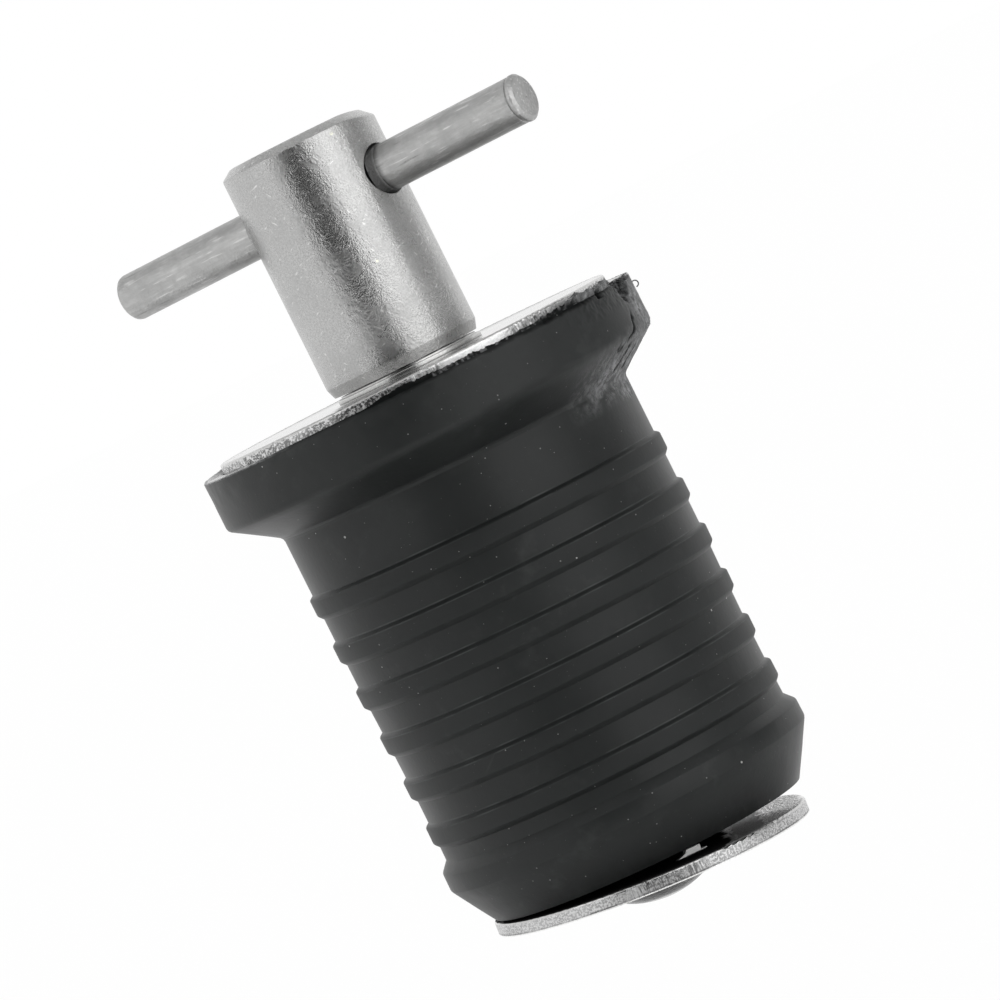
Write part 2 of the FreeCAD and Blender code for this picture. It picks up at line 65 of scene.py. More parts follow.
# %% Camera
CAMERA_PLACE = Vector((1.34, -400.0, 14.0)) * MM
CAMERA_AIM = Vector((1.34, 0.0, -3.85)) * MM
CAMERA_ROLL = math.radians(-26.53)
camera_data = bpy.data.cameras.new("Camera")
camera_data.lens = 225.8
camera_data.sensor_width = 36.0
camera_data.clip_start = 0.01
camera_data.clip_end = 100.0
camera = bpy.data.objects.new("Camera", camera_data)
bpy.context.scene.collection.objects.link(camera)
bpy.context.scene.camera = camera
sight = (CAMERA_AIM - CAMERA_PLACE).to_track_quat("-Z", "Y").to_matrix().to_4x4()
camera.matrix_world = Matrix.Translation(CAMERA_PLACE) @ sight @ Matrix.Rotation(CAMERA_ROLL, 4, "Z")
print("camera at", [round(value, 3) for value in camera.location])

# %% [markdown]
# ## Small helpers for shader nodes
# Every finish below is a tree of nodes. One function makes a node, sets its plain values and joins
# its inputs, so that each finish can be read from top to bottom like a recipe.

# %% Node helpers
VECTORS = ("Vector", "Turn")


def add_node(tree, kind, inputs=None, **settings):
    """One shader node; an input is a plain value, or an output of another node."""
    made = tree.nodes.new("ShaderNode" + kind)
    for name, value in settings.items():
        setattr(made, name, value)
    for name, value in (inputs or {}).items():
        socket = made.inputs[name]
        if isinstance(value, bpy.types.NodeSocket):
            tree.links.new(value, socket)
        else:
            socket.default_value = value
    return made


def maths(tree, operation, *values, clamp=False):
    """A sum on plain values or on outputs of other nodes."""
    made = add_node(tree, "Math", dict(enumerate(values)), operation=operation, use_clamp=clamp)
    return made.outputs[0]


def axis_of(tree, vector, axis):
    """One of the three parts of a vector."""
    return add_node(tree, "SeparateXYZ", {"Vector": vector}).outputs[axis]


print("node helpers ready")


# %% Groups and materials
def new_group(name, inputs, outputs):
    """An empty node group, the values that come into it and its end node."""
    group = bpy.data.node_groups.new(name, "ShaderNodeTree")
    for way, labels in (("INPUT", inputs), ("OUTPUT", outputs)):
        for label in labels:
            kind = "NodeSocketVector" if label in VECTORS else "NodeSocketFloat"
            group.interface.new_socket(label, in_out=way, socket_type=kind)
    incoming = group.nodes.new("NodeGroupInput").outputs
    return group, [incoming[label] for label in inputs], group.nodes.new("NodeGroupOutput")


def use_group(tree, group, **inputs):
    """A node group placed in a material, with its own values."""
    return add_node(tree, "Group", inputs, node_tree=group)


def new_material(name):
    """A material with an empty tree, its Principled shader and its output."""
    material = bpy.data.materials.new(name)
    material.use_nodes = True
    tree = material.node_tree
    tree.nodes.clear()
    shader = add_node(tree, "BsdfPrincipled")
    add_node(tree, "OutputMaterial", {"Surface": shader.outputs["BSDF"]})
    return material, tree, shader


print("groups and materials can be made")

# %% [markdown]
# ## Shared effects
# Specks of dust, grain and scratches turn up on several pieces. Each is a node group: it is built
# once and gives out a mask or a height, and every material places it with its own scale.

# %% Group: specks
specks, (place, scale, size, share), end = new_group(
    "Specks", ["Vector", "Scale", "Size", "Share"], ["Mask"],
)
cells = add_node(specks, "TexVoronoi", {"Vector": place, "Scale": scale, "Randomness": 1.0}, feature="F1")
lot = add_node(specks, "SeparateColor", {"Color": cells.outputs["Color"]})
chosen = maths(specks, "LESS_THAN", lot.outputs["Red"], share)
girth = maths(specks, "MULTIPLY", lot.outputs["Green"], size)
inside = maths(specks, "LESS_THAN", cells.outputs["Distance"], girth)
specks.links.new(maths(specks, "MULTIPLY", chosen, inside), end.inputs["Mask"])
print("group:", specks.name)

# %% Group: grain
grain, (place, scale, detail, low, high), end = new_group(
    "Grain", ["Vector", "Scale", "Detail", "Low", "High"], ["Value"],
)
cloud = add_node(grain, "TexNoise", {"Vector": place, "Scale": scale, "Detail": detail, "Roughness": 0.6})
spread = add_node(grain, "MapRange", {"Value": cloud.outputs["Fac"], "From Min": low, "From Max": high})
grain.links.new(spread.outputs["Result"], end.inputs["Value"])
print("group:", grain.name)

# %% Group: rim marks
# A punch shears a washer out of its sheet and leaves upright tear marks on the rim. The pattern is
# noise that is long along the washer's axis, shown only where the face looks sideways.
rim_marks, (place, scale), end = new_group("Rim marks", ["Vector", "Scale"], ["Height", "Mask"])
long_way = add_node(rim_marks, "VectorMath", {0: place, 1: (1.0, 1.0, 0.12)}, operation="MULTIPLY")
tears = add_node(rim_marks, "TexNoise", {
    "Vector": long_way.outputs[0], "Scale": scale, "Detail": 4.0, "Roughness": 0.65,
})
facing = add_node(rim_marks, "NewGeometry").outputs["Normal"]
sideways = add_node(rim_marks, "MapRange", {
    "Value": maths(rim_marks, "ABSOLUTE", axis_of(rim_marks, facing, "Z")),
    "From Min": 0.75, "From Max": 0.35,
})
rim_marks.links.new(tears.outputs["Fac"], end.inputs["Height"])
rim_marks.links.new(sideways.outputs["Result"], end.inputs["Mask"])
print("group:", rim_marks.name)

# %% Group: unrolled
# Marks that run round or along a turned piece follow its surface when the place is given as the
# way round, the height and the distance from the axis.
unrolled, (place, radius), end = new_group("Unrolled", ["Vector", "Radius"], ["Vector"])
parts = add_node(unrolled, "SeparateXYZ", {"Vector": place}).outputs
front = maths(unrolled, "MULTIPLY", parts["Y"], -1.0)
way = maths(unrolled, "MULTIPLY", maths(unrolled, "ARCTAN2", parts["X"], front), radius)
sideways = add_node(unrolled, "VectorMath", {0: place, 1: (1.0, 1.0, 0.0)}, operation="MULTIPLY")
reach = add_node(unrolled, "VectorMath", {0: sideways.outputs[0]}, operation="LENGTH")
joined = add_node(unrolled, "CombineXYZ", {
    "X": way, "Y": parts["Z"], "Z": reach.outputs["Value"],
})
unrolled.links.new(joined.outputs[0], end.inputs["Vector"])
print("group:", unrolled.name)

# %% Group: nicks
# Short straight scratches: noise that is pulled long in one direction, of which only the peaks show.
nicks, (place, turn, scale, length, share), end = new_group(
    "Nicks", ["Vector", "Turn", "Scale", "Length", "Share"], ["Mask"],
)
pull = add_node(nicks, "CombineXYZ", {"X": length, "Y": 1.0, "Z": 1.0})
pulled = add_node(nicks, "Mapping", {
    "Vector": place, "Rotation": turn, "Scale": pull.outputs[0],
}, vector_type="TEXTURE")
hairs = add_node(nicks, "TexNoise", {
    "Vector": pulled.outputs[0], "Scale": scale, "Detail": 1.0, "Roughness": 0.4,
})
least = add_node(nicks, "MapRange", {"Value": share, "To Min": 0.80, "To Max": 0.50})
above = maths(nicks, "SUBTRACT", hairs.outputs["Fac"], least.outputs["Result"])
nicks.links.new(maths(nicks, "MULTIPLY", above, 14.0, clamp=True), end.inputs["Mask"])
print("group:", nicks.name)


# %% Short ways to use the effects
def grained(tree, place, scale, detail=3.0, low=0.3, high=0.7):
    """Cloudy noise, spread over 0 to 1 between its low and its high."""
    return use_group(tree, grain, Vector=place, Scale=scale, Detail=detail, Low=low, High=high).outputs[0]


def nicked(tree, place, turn, scale, length, share):
    """A mask of scratches that are turned about the third axis."""
    return use_group(
        tree, nicks, Vector=place, Turn=(0.0, 0.0, turn), Scale=scale, Length=length, Share=share,
    ).outputs[0]


def specked(tree, place, scale, size, share):
    """A mask of round specks."""
    return use_group(tree, specks, Vector=place, Scale=scale, Size=size, Share=share).outputs[0]


def unroll(tree, place, radius):
    """The way round, the height and the distance from the axis."""
    return use_group(tree, unrolled, Vector=place, Radius=radius).outputs[0]


def stretched(tree, place, **settings):
    """The place seen from another origin, turned, or pulled long."""
    inputs = {"Vector": place, **settings}
    return add_node(tree, "Mapping", inputs, vector_type="TEXTURE").outputs[0]


print("effects ready")


# %% Masks and colours
def varied(tree, mask, low, high):
    """A mask from 0 to 1 turned into a value between low and high."""
    return add_node(tree, "MapRange", {"Value": mask, "To Min": low, "To Max": high}).outputs[0]


def ramp(tree, value, low, high):
    """0 at low, 1 at high, and straight between them."""
    made = add_node(tree, "MapRange", {"Value": value, "From Min": low, "From Max": high})
    return made.outputs[0]


def layered(tree, mask, under, over):
    """A colour laid over another one, as much as the mask says."""
    under = under if isinstance(under, bpy.types.NodeSocket) else (*under, 1.0)
    inputs = {0: mask, 6: under, 7: (*over, 1.0)}
    return add_node(tree, "Mix", inputs, data_type="RGBA").outputs[2]


def grey(shade):
    """A plain grey."""
    return (shade, shade, shade)


def times(tree, first, second):
    """Two masks multiplied."""
    return maths(tree, "MULTIPLY", first, second)


def windows(tree, value, spans, soft):
    """1 where a length lies in one of the spans, given in millimetres, with soft ends."""
    total = 0.0
    for low, high in spans:
        rise = ramp(tree, value, (low - soft) * MM, (low + soft) * MM)
        fall = ramp(tree, value, (high + soft) * MM, (high - soft) * MM)
        total = maths(tree, "MAXIMUM", times(tree, rise, fall), total)
    return total


print("masks and colours ready")


# %% Surfaces
def finish_surface(tree, shader, colour, roughness, layers):
    """Joins colour, roughness and a row of bumps, each a height, a strength and a depth in metres."""
    tree.links.new(colour, shader.inputs["Base Color"])
    tree.links.new(roughness, shader.inputs["Roughness"])
    normal = None
    for height, strength, depth in layers:
        inputs = {"Height": height, "Strength": strength, "Distance": depth}
        if normal is not None:
            inputs["Normal"] = normal
        normal = add_node(tree, "Bump", inputs).outputs["Normal"]
    tree.links.new(normal, shader.inputs["Normal"])


def steel_base(name, colour, roughness):
    """A metal with plain metallic 1, ready for its colour, roughness and bump."""
    material, tree, shader = new_material(name)
    shader.inputs["Metallic"].default_value = 1.0
    shader.inputs["Base Color"].default_value = (*colour, 1.0)
    shader.inputs["Roughness"].default_value = roughness
    return material, tree, shader, add_node(tree, "TexCoord").outputs["Object"]


print("surfaces ready")

# %% [markdown]
# ## Tumbled steel for the handle nut
# The nut was turned and then tumbled, so its shine is broken into a fine mottled grain: seen close,
# the edge between a light and a dark reflection is ragged. Two sizes of noise in the bump do that,
# and the same noise shifts colour and roughness a little. Short scratches lie on top, and a few
# pale specks in a band at the front, where the finish has flaked.

# %% Material: tumbled steel
tumbled, tree, shader, place = steel_base("Tumbled steel", (0.50, 0.50, 0.495), 0.25)
fine = grained(tree, place, scale=9500.0, detail=2.0)
mottle = grained(tree, place, scale=2600.0, detail=2.0)
broad = grained(tree, place, scale=420.0)
skin = unroll(tree, place, 5.28 * MM)
level = nicked(tree, skin, turn=0.35, scale=4600.0, length=3.0, share=0.33)
steep = nicked(tree, skin, turn=2.2, scale=5200.0, length=3.0, share=0.30)
scratch = maths(tree, "MAXIMUM", level, steep)
on_band = times(
    tree, windows(tree, axis_of(tree, skin, "X"), [(0.9, 2.9)], 0.2),
    windows(tree, axis_of(tree, skin, "Y"), [(11.5, 21.6)], 0.3),
)
pale = times(tree, specked(tree, place, scale=1100.0, size=0.22, share=0.40), on_band)
colour = layered(tree, fine, (0.40, 0.40, 0.395), (0.57, 0.57, 0.565))
colour = layered(tree, varied(tree, broad, 0.0, 0.30), colour, grey(0.40))
colour = layered(tree, times(tree, scratch, varied(tree, broad, 0.3, 0.9)), colour, (0.80, 0.80, 0.79))
colour = layered(tree, pale, colour, (0.86, 0.86, 0.66))
finish_surface(tree, shader, colour, varied(tree, broad, 0.23, 0.31), [
    (mottle, 0.16, 0.00008), (fine, 0.30, 0.00003), (scratch, 0.30, 0.00001),
])
print("material:", tumbled.name)

# %% [markdown]
# ## Drawn rod for the cross pin
# Bright rod is pulled through a die, which leaves fine lines along it and a few small pits. The
# noise is turned to the pin's own direction and stretched along it by a Mapping node, so that the
# lines keep to the rod however it lies. The collar in the mouth of the hole is painted dark, as
# painted shade inside the hole.

# %% Material: drawn rod
PIN_CENTRE = Vector((-0.15, 0.0, 18.35)) * MM
PIN_TURN = (0.0, math.radians(-0.3), math.radians(-29.5))
PIN_STRETCH = 9.0
MOUTH_SHADE_SPAN = (2.7, 5.445)
drawn, tree, shader, place = steel_base("Drawn rod", (0.48, 0.48, 0.475), 0.30)
along = stretched(tree, place, Location=PIN_CENTRE, Rotation=PIN_TURN, Scale=(PIN_STRETCH, 1.0, 1.0))
lines = grained(tree, along, scale=5200.0)
fine = grained(tree, place, scale=6000.0, detail=2.0)
broad = grained(tree, place, scale=520.0)
blotch = grained(tree, place, scale=1500.0, detail=4.0)
streaks = nicked(tree, along, turn=0.0, scale=5200.0, length=1.0, share=0.50)
gouges = nicked(tree, along, turn=0.05, scale=3600.0, length=1.2, share=0.28)
colour = layered(tree, times(tree, lines, blotch), (0.44, 0.44, 0.435), (0.64, 0.64, 0.635))
colour = layered(tree, varied(tree, broad, 0.0, 0.35), colour, grey(0.40))
colour = layered(tree, times(tree, streaks, varied(tree, broad, 0.3, 0.8)), colour, (0.78, 0.78, 0.77))
colour = layered(tree, times(tree, gouges, varied(tree, fine, 0.2, 0.8)), colour, (0.22, 0.22, 0.215))
# The pin's collar in the hole's mouth is painted nearly black: painted shade inside the hole.
mouth_shade = windows(tree, axis_of(tree, along, "X"), [tuple(edge / PIN_STRETCH for edge in MOUTH_SHADE_SPAN)], 0.03)
colour = layered(tree, times(tree, mouth_shade, 0.88), colour, grey(0.03))
finish_surface(tree, shader, colour, varied(tree, broad, 0.38, 0.48), [
    (blotch, 0.10, 0.00008), (lines, 0.14, 0.00005), (fine, 0.40, 0.00003),
])
print("material:", drawn.name)

# %% [markdown]
# ## Stamped sheet for the washers
# The flat faces of a washer are smooth rolled sheet, close to a mirror at a flat angle, while the
# sheared rim is rough. Upright tear marks drive its bump, colour and roughness; their dark colour is
# partly painted shade in the pits. They need the washer's own axis, so each washer has its own
# material with a Mapping node that stands it upright. A near-white line at the rim's lower edge is a
# painted highlight on the burr. The top washer has a grainy stain in front. The face of the lower one
# is painted almost black and dull, as painted shade and a painted reflection of the black rubber
# above it; only its right side keeps a lighter mottle, and its lug is painted lighter and rougher, as
# painted light.

# %% Recipe: stamped sheet
SHEET_GAUGE = 0.93 * MM


def stamped_sheet(name, *, centre, turn, radius, rim_shade, strokes_at, dark_at, plain_at, stains_and_shade,
                  painted_dark_dull, grit_depth, face_rough, face_relief):
    """Rolled sheet with a torn rim; the spans in millimetres say where its marks are.

    strokes_at, dark_at and plain_at run round the rim, from the front to the right. The stains are
    spans from left to right over the face, each with its shade and the least share that it covers: a
    real stain on the top washer, painted shade and a painted reflection of the black rubber on the lower
    one. Dull ones take the metal's shine away.
    """
    material, tree, shader, place = steel_base(name, (0.56, 0.56, 0.555), 0.12)
    own = stretched(tree, place, Location=centre, Rotation=turn)
    skin = unroll(tree, own, radius)
    way = axis_of(tree, skin, "X")
    right, front, height = (axis_of(tree, own, axis) for axis in "XYZ")
    marks = use_group(tree, rim_marks, Vector=own, Scale=11000.0)
    on_side = marks.outputs["Mask"]
    strokes = ramp(tree, marks.outputs["Height"], 0.42, 0.60)
    grit = grained(tree, skin, scale=7000.0, detail=2.0, low=0.45, high=0.55)
    patch = grained(tree, skin, scale=500.0, detail=2.0, low=0.40, high=0.60)
    soft = grained(tree, own, scale=2600.0)
    rolled = grained(tree, stretched(tree, own, Scale=(14.0, 1.0, 1.0)), scale=2200.0)

    torn_rim = add_node(tree, "Mix", {
        0: windows(tree, way, strokes_at, 0.4), 2: times(tree, grit, grit_depth), 3: strokes,
    }).outputs[0]
    waved = maths(tree, "ADD", height, times(tree, soft, 0.16 * SHEET_GAUGE))
    on_rim = times(tree, on_side, ramp(tree, waved, -0.06 * SHEET_GAUGE, -0.12 * SHEET_GAUGE))
    worn = varied(tree, windows(tree, way, plain_at, 0.4), 0.85, 0.15)
    depth = times(tree, times(tree, torn_rim, on_rim), times(tree, worn, varied(tree, patch, 0.7, 1.0)))
    soiled = times(tree, windows(tree, way, dark_at, 0.5), varied(tree, grit, 0.35, 0.9))

    colour = layered(tree, rolled, (0.50, 0.50, 0.495), (0.60, 0.60, 0.595))
    rough = varied(tree, rolled, face_rough, face_rough + 0.04)
    on_face = windows(tree, height, [(-0.05, 0.035)], 0.015)
    if not painted_dark_dull:
        on_face = times(tree, on_face, ramp(tree, front, -6.0 * MM, -9.0 * MM))
    wobble = maths(tree, "MULTIPLY_ADD", patch, 0.5 * MM, right)
    plain_metal = 1.0
    # Each span is a stain, or on the lower washer painted shade and a painted reflection of the rubber.
    for low, high, shade, cover in stains_and_shade:
        stained_or_shaded = times(tree, windows(tree, wobble, [(low, high)], 0.25), on_face)
        stained_or_shaded = times(tree, stained_or_shaded, varied(tree, grit, cover, 1.0))
        plain_metal = times(tree, maths(tree, "SUBTRACT", 1.0, stained_or_shaded), plain_metal)
        colour = layered(tree, stained_or_shaded, colour, grey(shade))
        rough = maths(tree, "ADD", rough, times(tree, stained_or_shaded, 0.20))

    low_edge = times(
        tree, windows(tree, height, [(-0.83, -0.76)], 0.02),
        times(tree, on_side, varied(tree, patch, 0.3, 0.8)),
    )
    # A near-white line at the rim's lower edge: a burr, its brightness a painted highlight.
    burr_highlight = times(tree, windows(tree, height, [(-1.0, -0.86)], 0.01), on_side)
    # The tear marks' dark colour is partly their own and partly painted shade in their pits.
    for mask, shade in (
        (on_rim, grey(rim_shade)), (times(tree, soiled, on_rim), grey(0.16)), (depth, grey(0.06)),
        (low_edge, grey(0.10)), (burr_highlight, (0.95, 0.95, 0.94)),
    ):
        colour = layered(tree, mask, colour, shade)
    # On the lower washer the face is dull, and the lug is painted lighter and rougher, as painted light.
    if painted_dark_dull:
        shader.inputs["Specular IOR Level"].default_value = 0.0
        tree.links.new(plain_metal, shader.inputs["Metallic"])
        lug_painted_light = ramp(tree, height, 0.03 * MM, 0.06 * MM)
        colour = layered(tree, lug_painted_light, colour, (0.82, 0.82, 0.81))
        rough = maths(tree, "ADD", rough, times(tree, lug_painted_light, 0.40))
    finish_surface(tree, shader, colour, maths(tree, "ADD", rough, times(tree, on_rim, 0.22)), [
        (depth, 0.6, 0.00004), (soft, 0.1, 0.00002), (rolled, face_relief, 0.00002),
    ])
    return material


print("sheet recipe ready")

# %% Materials: the two sheets
TOP_FACE = Vector((0.0, 0.0, 6.13)) * MM
BOTTOM_FACE = Vector((-0.376, 0.0, -28.642)) * MM
BOTTOM_LEAN = (math.radians(0.4), math.radians(4.52), 0.0)
flat_sheet = stamped_sheet(
    "Stamped sheet", centre=TOP_FACE, turn=(0.0, 0.0, 0.0), radius=13.65 * MM, rim_shade=0.82,
    strokes_at=[(-0.3, 1.5), (6.9, 10.6)], dark_at=[(-5.6, -0.6)], plain_at=[(1.7, 6.7), (10.9, 15.0)],
    stains_and_shade=[(-5.2, -1.0, 0.18, 0.3)], painted_dark_dull=False, grit_depth=1.0, face_rough=0.10, face_relief=0.25,
)
leaning_sheet = stamped_sheet(
    "Stamped sheet leaning", centre=BOTTOM_FACE, turn=BOTTOM_LEAN, radius=10.7 * MM, rim_shade=0.66,
    strokes_at=[(-2.0, 3.4)], dark_at=[(-1.2, 1.9)], plain_at=[],
    # The lower washer's face: painted shade and a painted reflection of the black rubber, lighter to the
    # right.
    stains_and_shade=[(-10.3, 5.4, 0.018, 1.0), (5.6, 7.9, 0.11, 0.40), (8.0, 10.8, 0.34, 0.0)], painted_dark_dull=True,
    grit_depth=0.65, face_rough=0.04, face_relief=0.02,
)
print("materials:", flat_sheet.name, "and", leaning_sheet.name)

# %% [markdown]
# ## Turned steel for the stud and the small washer
# Only the stud's domed foot shows, below the bottom washer. A piece turned like this has faint
# rings round its axis, so the grain is stretched round it by using the distance from the axis and
# the height as the only coordinates. A band of the dome just under the washer is painted dark, as
# painted shade and a painted reflection of the washer's underside. The small washer under the
# handle has the same finish.

# %% Material: turned steel
turned, tree, shader, place = steel_base("Turned steel", (0.55, 0.55, 0.54), 0.20)
rings = grained(tree, unroll(tree, place, 0.0), scale=6000.0)
fine = grained(tree, place, scale=5200.0, detail=2.0)
colour = layered(tree, fine, (0.48, 0.48, 0.475), (0.60, 0.60, 0.59))
level = maths(tree, "MULTIPLY_ADD", axis_of(tree, place, "X"), 0.08, axis_of(tree, place, "Z"))
# The band of the dome just under the washer is painted dark: painted shade and a painted reflection of the
# washer's underside.
under_washer_shade = times(tree, windows(tree, level, [(-31.13, -30.1)], 0.05), varied(tree, fine, 0.8, 1.0))
finish_surface(tree, shader, layered(tree, under_washer_shade, colour, grey(0.03)), varied(tree, rings, 0.20, 0.30), [
    (rings, 0.2, 0.00002), (fine, 0.2, 0.00002),
])
print("material:", turned.name)

# %% [markdown]
# ## Helpers for turned shapes
# The washers and the bung are round, so each is a chain of points spun about the axis. A point may
# carry a rounding: the chain's corner is bevelled there before it is spun, which costs one call
# instead of a ring of edges to pick out afterwards.


# %% Spin helpers
def spin_outline(corners, segments, steps=2, closed=True):
    """A chain of (radius, height, rounding) in millimetres, rounded at its corners and spun about Z."""
    shape = bmesh.new()
    chain = [shape.verts.new(Vector((radius, 0.0, level)) * MM) for radius, level, _ in corners]
    ends = chain[1:] + chain[:1] if closed else chain[1:]
    for first, second in zip(chain, ends):
        shape.edges.new((first, second))
    for rounding in sorted({corner[2] for corner in corners} - {0.0}):
        bmesh.ops.bevel(
            shape, geom=[vert for vert, corner in zip(chain, corners) if corner[2] == rounding],
            offset=rounding * MM, offset_type="OFFSET", segments=steps, profile=0.5,
            affect="VERTICES", material=-1,
        )
    bmesh.ops.spin(
        shape, geom=shape.verts[:] + shape.edges[:], cent=(0, 0, 0), axis=(0, 0, 1),
        angle=math.tau, steps=segments, use_merge=True,
    )
    bmesh.ops.remove_doubles(shape, verts=shape.verts[:], dist=0.001 * MM)
    return shape


def sharpen(shape, degrees, keep_soft=None):
    """Edges that turn more than so many degrees are shaded sharp."""
    limit = math.radians(degrees)
    for edge in shape.edges:
        if len(edge.link_faces) == 2 and edge.calc_face_angle(0.0) > limit:
            if keep_soft is None or not keep_soft(edge):
                edge.smooth = False


print("spin helpers ready")


# %% Helpers for pieces
def finished(shape, name, material, body, node, degrees):
    """The shape as an object that rides on a body and stands for a node of the frame."""
    bmesh.ops.recalc_face_normals(shape, faces=shape.faces[:])
    sharpen(shape, degrees)
    print(name + ":", len(shape.faces), "faces")
    mesh = bpy.data.meshes.new(name)
    shape.to_mesh(mesh)
    shape.free()
    for face in mesh.polygons:
        face.use_smooth = True
    mesh.materials.append(material)
    piece = bpy.data.objects.new(name, mesh)
    bpy.context.scene.collection.objects.link(piece)
    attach(piece, body)
    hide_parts(node)
    return piece


def add_shape(shape, extra):
    """Adds a second shape to the first one and frees it."""
    mesh = bpy.data.meshes.new("extra")
    extra.to_mesh(mesh)
    extra.free()
    shape.from_mesh(mesh)
    bpy.data.meshes.remove(mesh)


print("piece helpers ready")


# %% Helpers for points
def bearing_of(point):
    """Degrees from the front, positive to the right."""
    return math.degrees(math.atan2(point.x, -point.y))


def radial(point, distance):
    """Move a point outwards from the axis."""
    reach = math.hypot(point.x, point.y)
    factor = (reach + distance) / reach
    point.x *= factor
    point.y *= factor


def clamped(value):
    """The value, kept between 0 and 1."""
    return max(0.0, min(1.0, value))


def between(stations, value):
    """The second number at a value of the first, on straight lines between the stations."""
    for (left, low), (right, high) in zip(stations, stations[1:]):
        if left <= value <= right:
            return low + (high - low) * (value - left) / (right - left)
    return stations[-1][1] if value > stations[-1][0] else stations[0][1]


print("point helpers ready")

# %% [markdown]
# ## The two upper washers
# The large washer was punched out of sheet: its upper edge is rounded and its rim is torn into
# small upright teeth, which catch the light like a zip. Bump alone leaves its outline smooth, so
# the teeth are moved points. They are deep only in a few stretches of the rim. The punch also left
# a faint burr at the far side. The small washer needs only a step in its turned rim.

# %% Top washer
PASSAGE_RADIUS = 2.8
TOP_RADIUS = 13.65
TOP_LOW = 5.2
TOP_HIGH = 6.13
RIM_FROM = 13.25
TOOTH_DEPTH = 0.07
CRUMB_DEPTH = 0.05
BURR_HEIGHT = 0.07
EDGE_WEAR = 0.04
# Where the teeth are deep: millimetres along the rim from the front, and their share.
TEETH_STATIONS = [
    (-50, 0.35), (-0.9, 0.45), (-0.4, 1.0), (1.4, 1.0), (1.9, 0.12), (6.6, 0.12), (7.1, 1.0),
    (10.5, 1.0), (11.2, 0.15), (16, 0.15), (20, 0.5), (50, 0.5),
]


def rim_noise(way, level, fine_round, fine_up, layer):
    """Noise on a rim, with its own fineness round it and up it."""
    return noise.noise(Vector((way * fine_round, level * fine_up, layer)))


top_outline = [
    (PASSAGE_RADIUS, TOP_LOW, 0.0), (PASSAGE_RADIUS, TOP_HIGH, 0.0), (13.1, TOP_HIGH, 0.0),
    (13.3, TOP_HIGH, 0.0), (TOP_RADIUS, TOP_HIGH, 0.14),
]
top_outline += [(TOP_RADIUS, TOP_HIGH - 0.24 - 0.08 * step, 0.0) for step in range(9)]
top_outline += [(TOP_RADIUS, TOP_LOW, 0.02)]
plate = spin_outline(top_outline, 1080)
for vert in plate.verts:
    spot = vert.co / MM
    if math.hypot(spot.x, spot.y) < RIM_FROM:
        continue
    bearing = math.radians(bearing_of(spot))
    way = bearing * TOP_RADIUS
    upright = rim_noise(way, spot.z, 4.6, 1.1, 3.0)
    crumbs = rim_noise(way, spot.z, 6.5, 7.0, 9.0)
    teeth = between(TEETH_STATIONS, way)
    radial(spot, -teeth * (TOOTH_DEPTH * max(0.0, upright + 0.25) + CRUMB_DEPTH * max(0.0, crumbs)))
    if spot.z > TOP_HIGH - 0.2:
        burr = max(0.0, -math.cos(bearing)) ** 0.5
        spot.z += BURR_HEIGHT * burr + EDGE_WEAR * min(0.0, rim_noise(way, 1.0, 3.1, 1.0, 5.0) - 0.05)
    vert.co = spot * MM
finished(plate, "top_plate", flat_sheet, "bung", "top_washer", 50)

# %% Thrust washer
THRUST_RADIUS = 5.06
THRUST_SLIP = -0.04
THRUST_HIGH = 6.53
THRUST_STEP = 4.75
THRUST_EDGE = 6.42
ring = spin_outline([
    (PASSAGE_RADIUS, TOP_HIGH, 0.0), (PASSAGE_RADIUS, THRUST_HIGH, 0.0), (THRUST_STEP, THRUST_HIGH, 0.0),
    (THRUST_STEP, THRUST_EDGE, 0.0), (THRUST_RADIUS, THRUST_EDGE, 0.06), (THRUST_RADIUS, TOP_HIGH, 0.05),
], 360, 3)
bmesh.ops.translate(ring, verts=ring.verts[:], vec=Vector((THRUST_SLIP, 0, 0)) * MM)
finished(ring, "thrust_ring", turned, "bung", "thrust_washer", 50)

# %% [markdown]
# ## The cross pin
# The pin is a plain rod with a rounded end at the left. Its right end was upset in a die: a groove
# runs round it, then comes a bright rim and a chamfered, slightly dished face. A low collar with a
# cone at each side fills the mouths of the hole. The pin is spun upright and then laid along its
# own direction.

# %% Cross pin
PIN_RADIUS = 1.56
PIN_SAG = 0.05
PIN_HALF = 16.3
GRIP_HALF = 2.5
GRIP_RADIUS = 1.7875
COLLAR_HALF = 4.82
COLLAR_RADIUS = 1.93
COLLAR_END = 5.30
GROOVE_RADIUS = 1.46
RIM_RADIUS = 1.60
pin_outline = [(0.0, -PIN_HALF, 0.0), (0.6, -PIN_HALF, 0.0), (PIN_RADIUS, -PIN_HALF, 0.42)]
pin_outline += [(PIN_RADIUS, -14.6 + 1.2 * step, 0.0) for step in range(8)]
pin_outline += [
    (PIN_RADIUS, -COLLAR_END, 0.0), (COLLAR_RADIUS, -COLLAR_HALF, 0.0), (COLLAR_RADIUS, -GRIP_HALF, 0.0),
    (GRIP_RADIUS, -GRIP_HALF, 0.0), (GRIP_RADIUS, GRIP_HALF, 0.0),
    (COLLAR_RADIUS, GRIP_HALF, 0.0), (COLLAR_RADIUS, COLLAR_HALF, 0.0), (PIN_RADIUS, COLLAR_END, 0.0),
]
pin_outline += [(PIN_RADIUS, 6.0 + 1.2 * step, 0.0) for step in range(8)]
pin_outline += [(radius, PIN_HALF - inwards, rounding) for radius, inwards, rounding in (
    (PIN_RADIUS, 0.62, 0.03), (GROOVE_RADIUS, 0.57, 0.0), (GROOVE_RADIUS, 0.49, 0.0),
    (RIM_RADIUS, 0.43, 0.03), (RIM_RADIUS, 0.24, 0.04), (1.36, 0.0, 0.05), (1.2, 0.02, 0.0),
    (0.7, 0.05, 0.0), (0.0, 0.06, 0.0),
)]
pin_shape = spin_outline(pin_outline, 160, 3, closed=False)
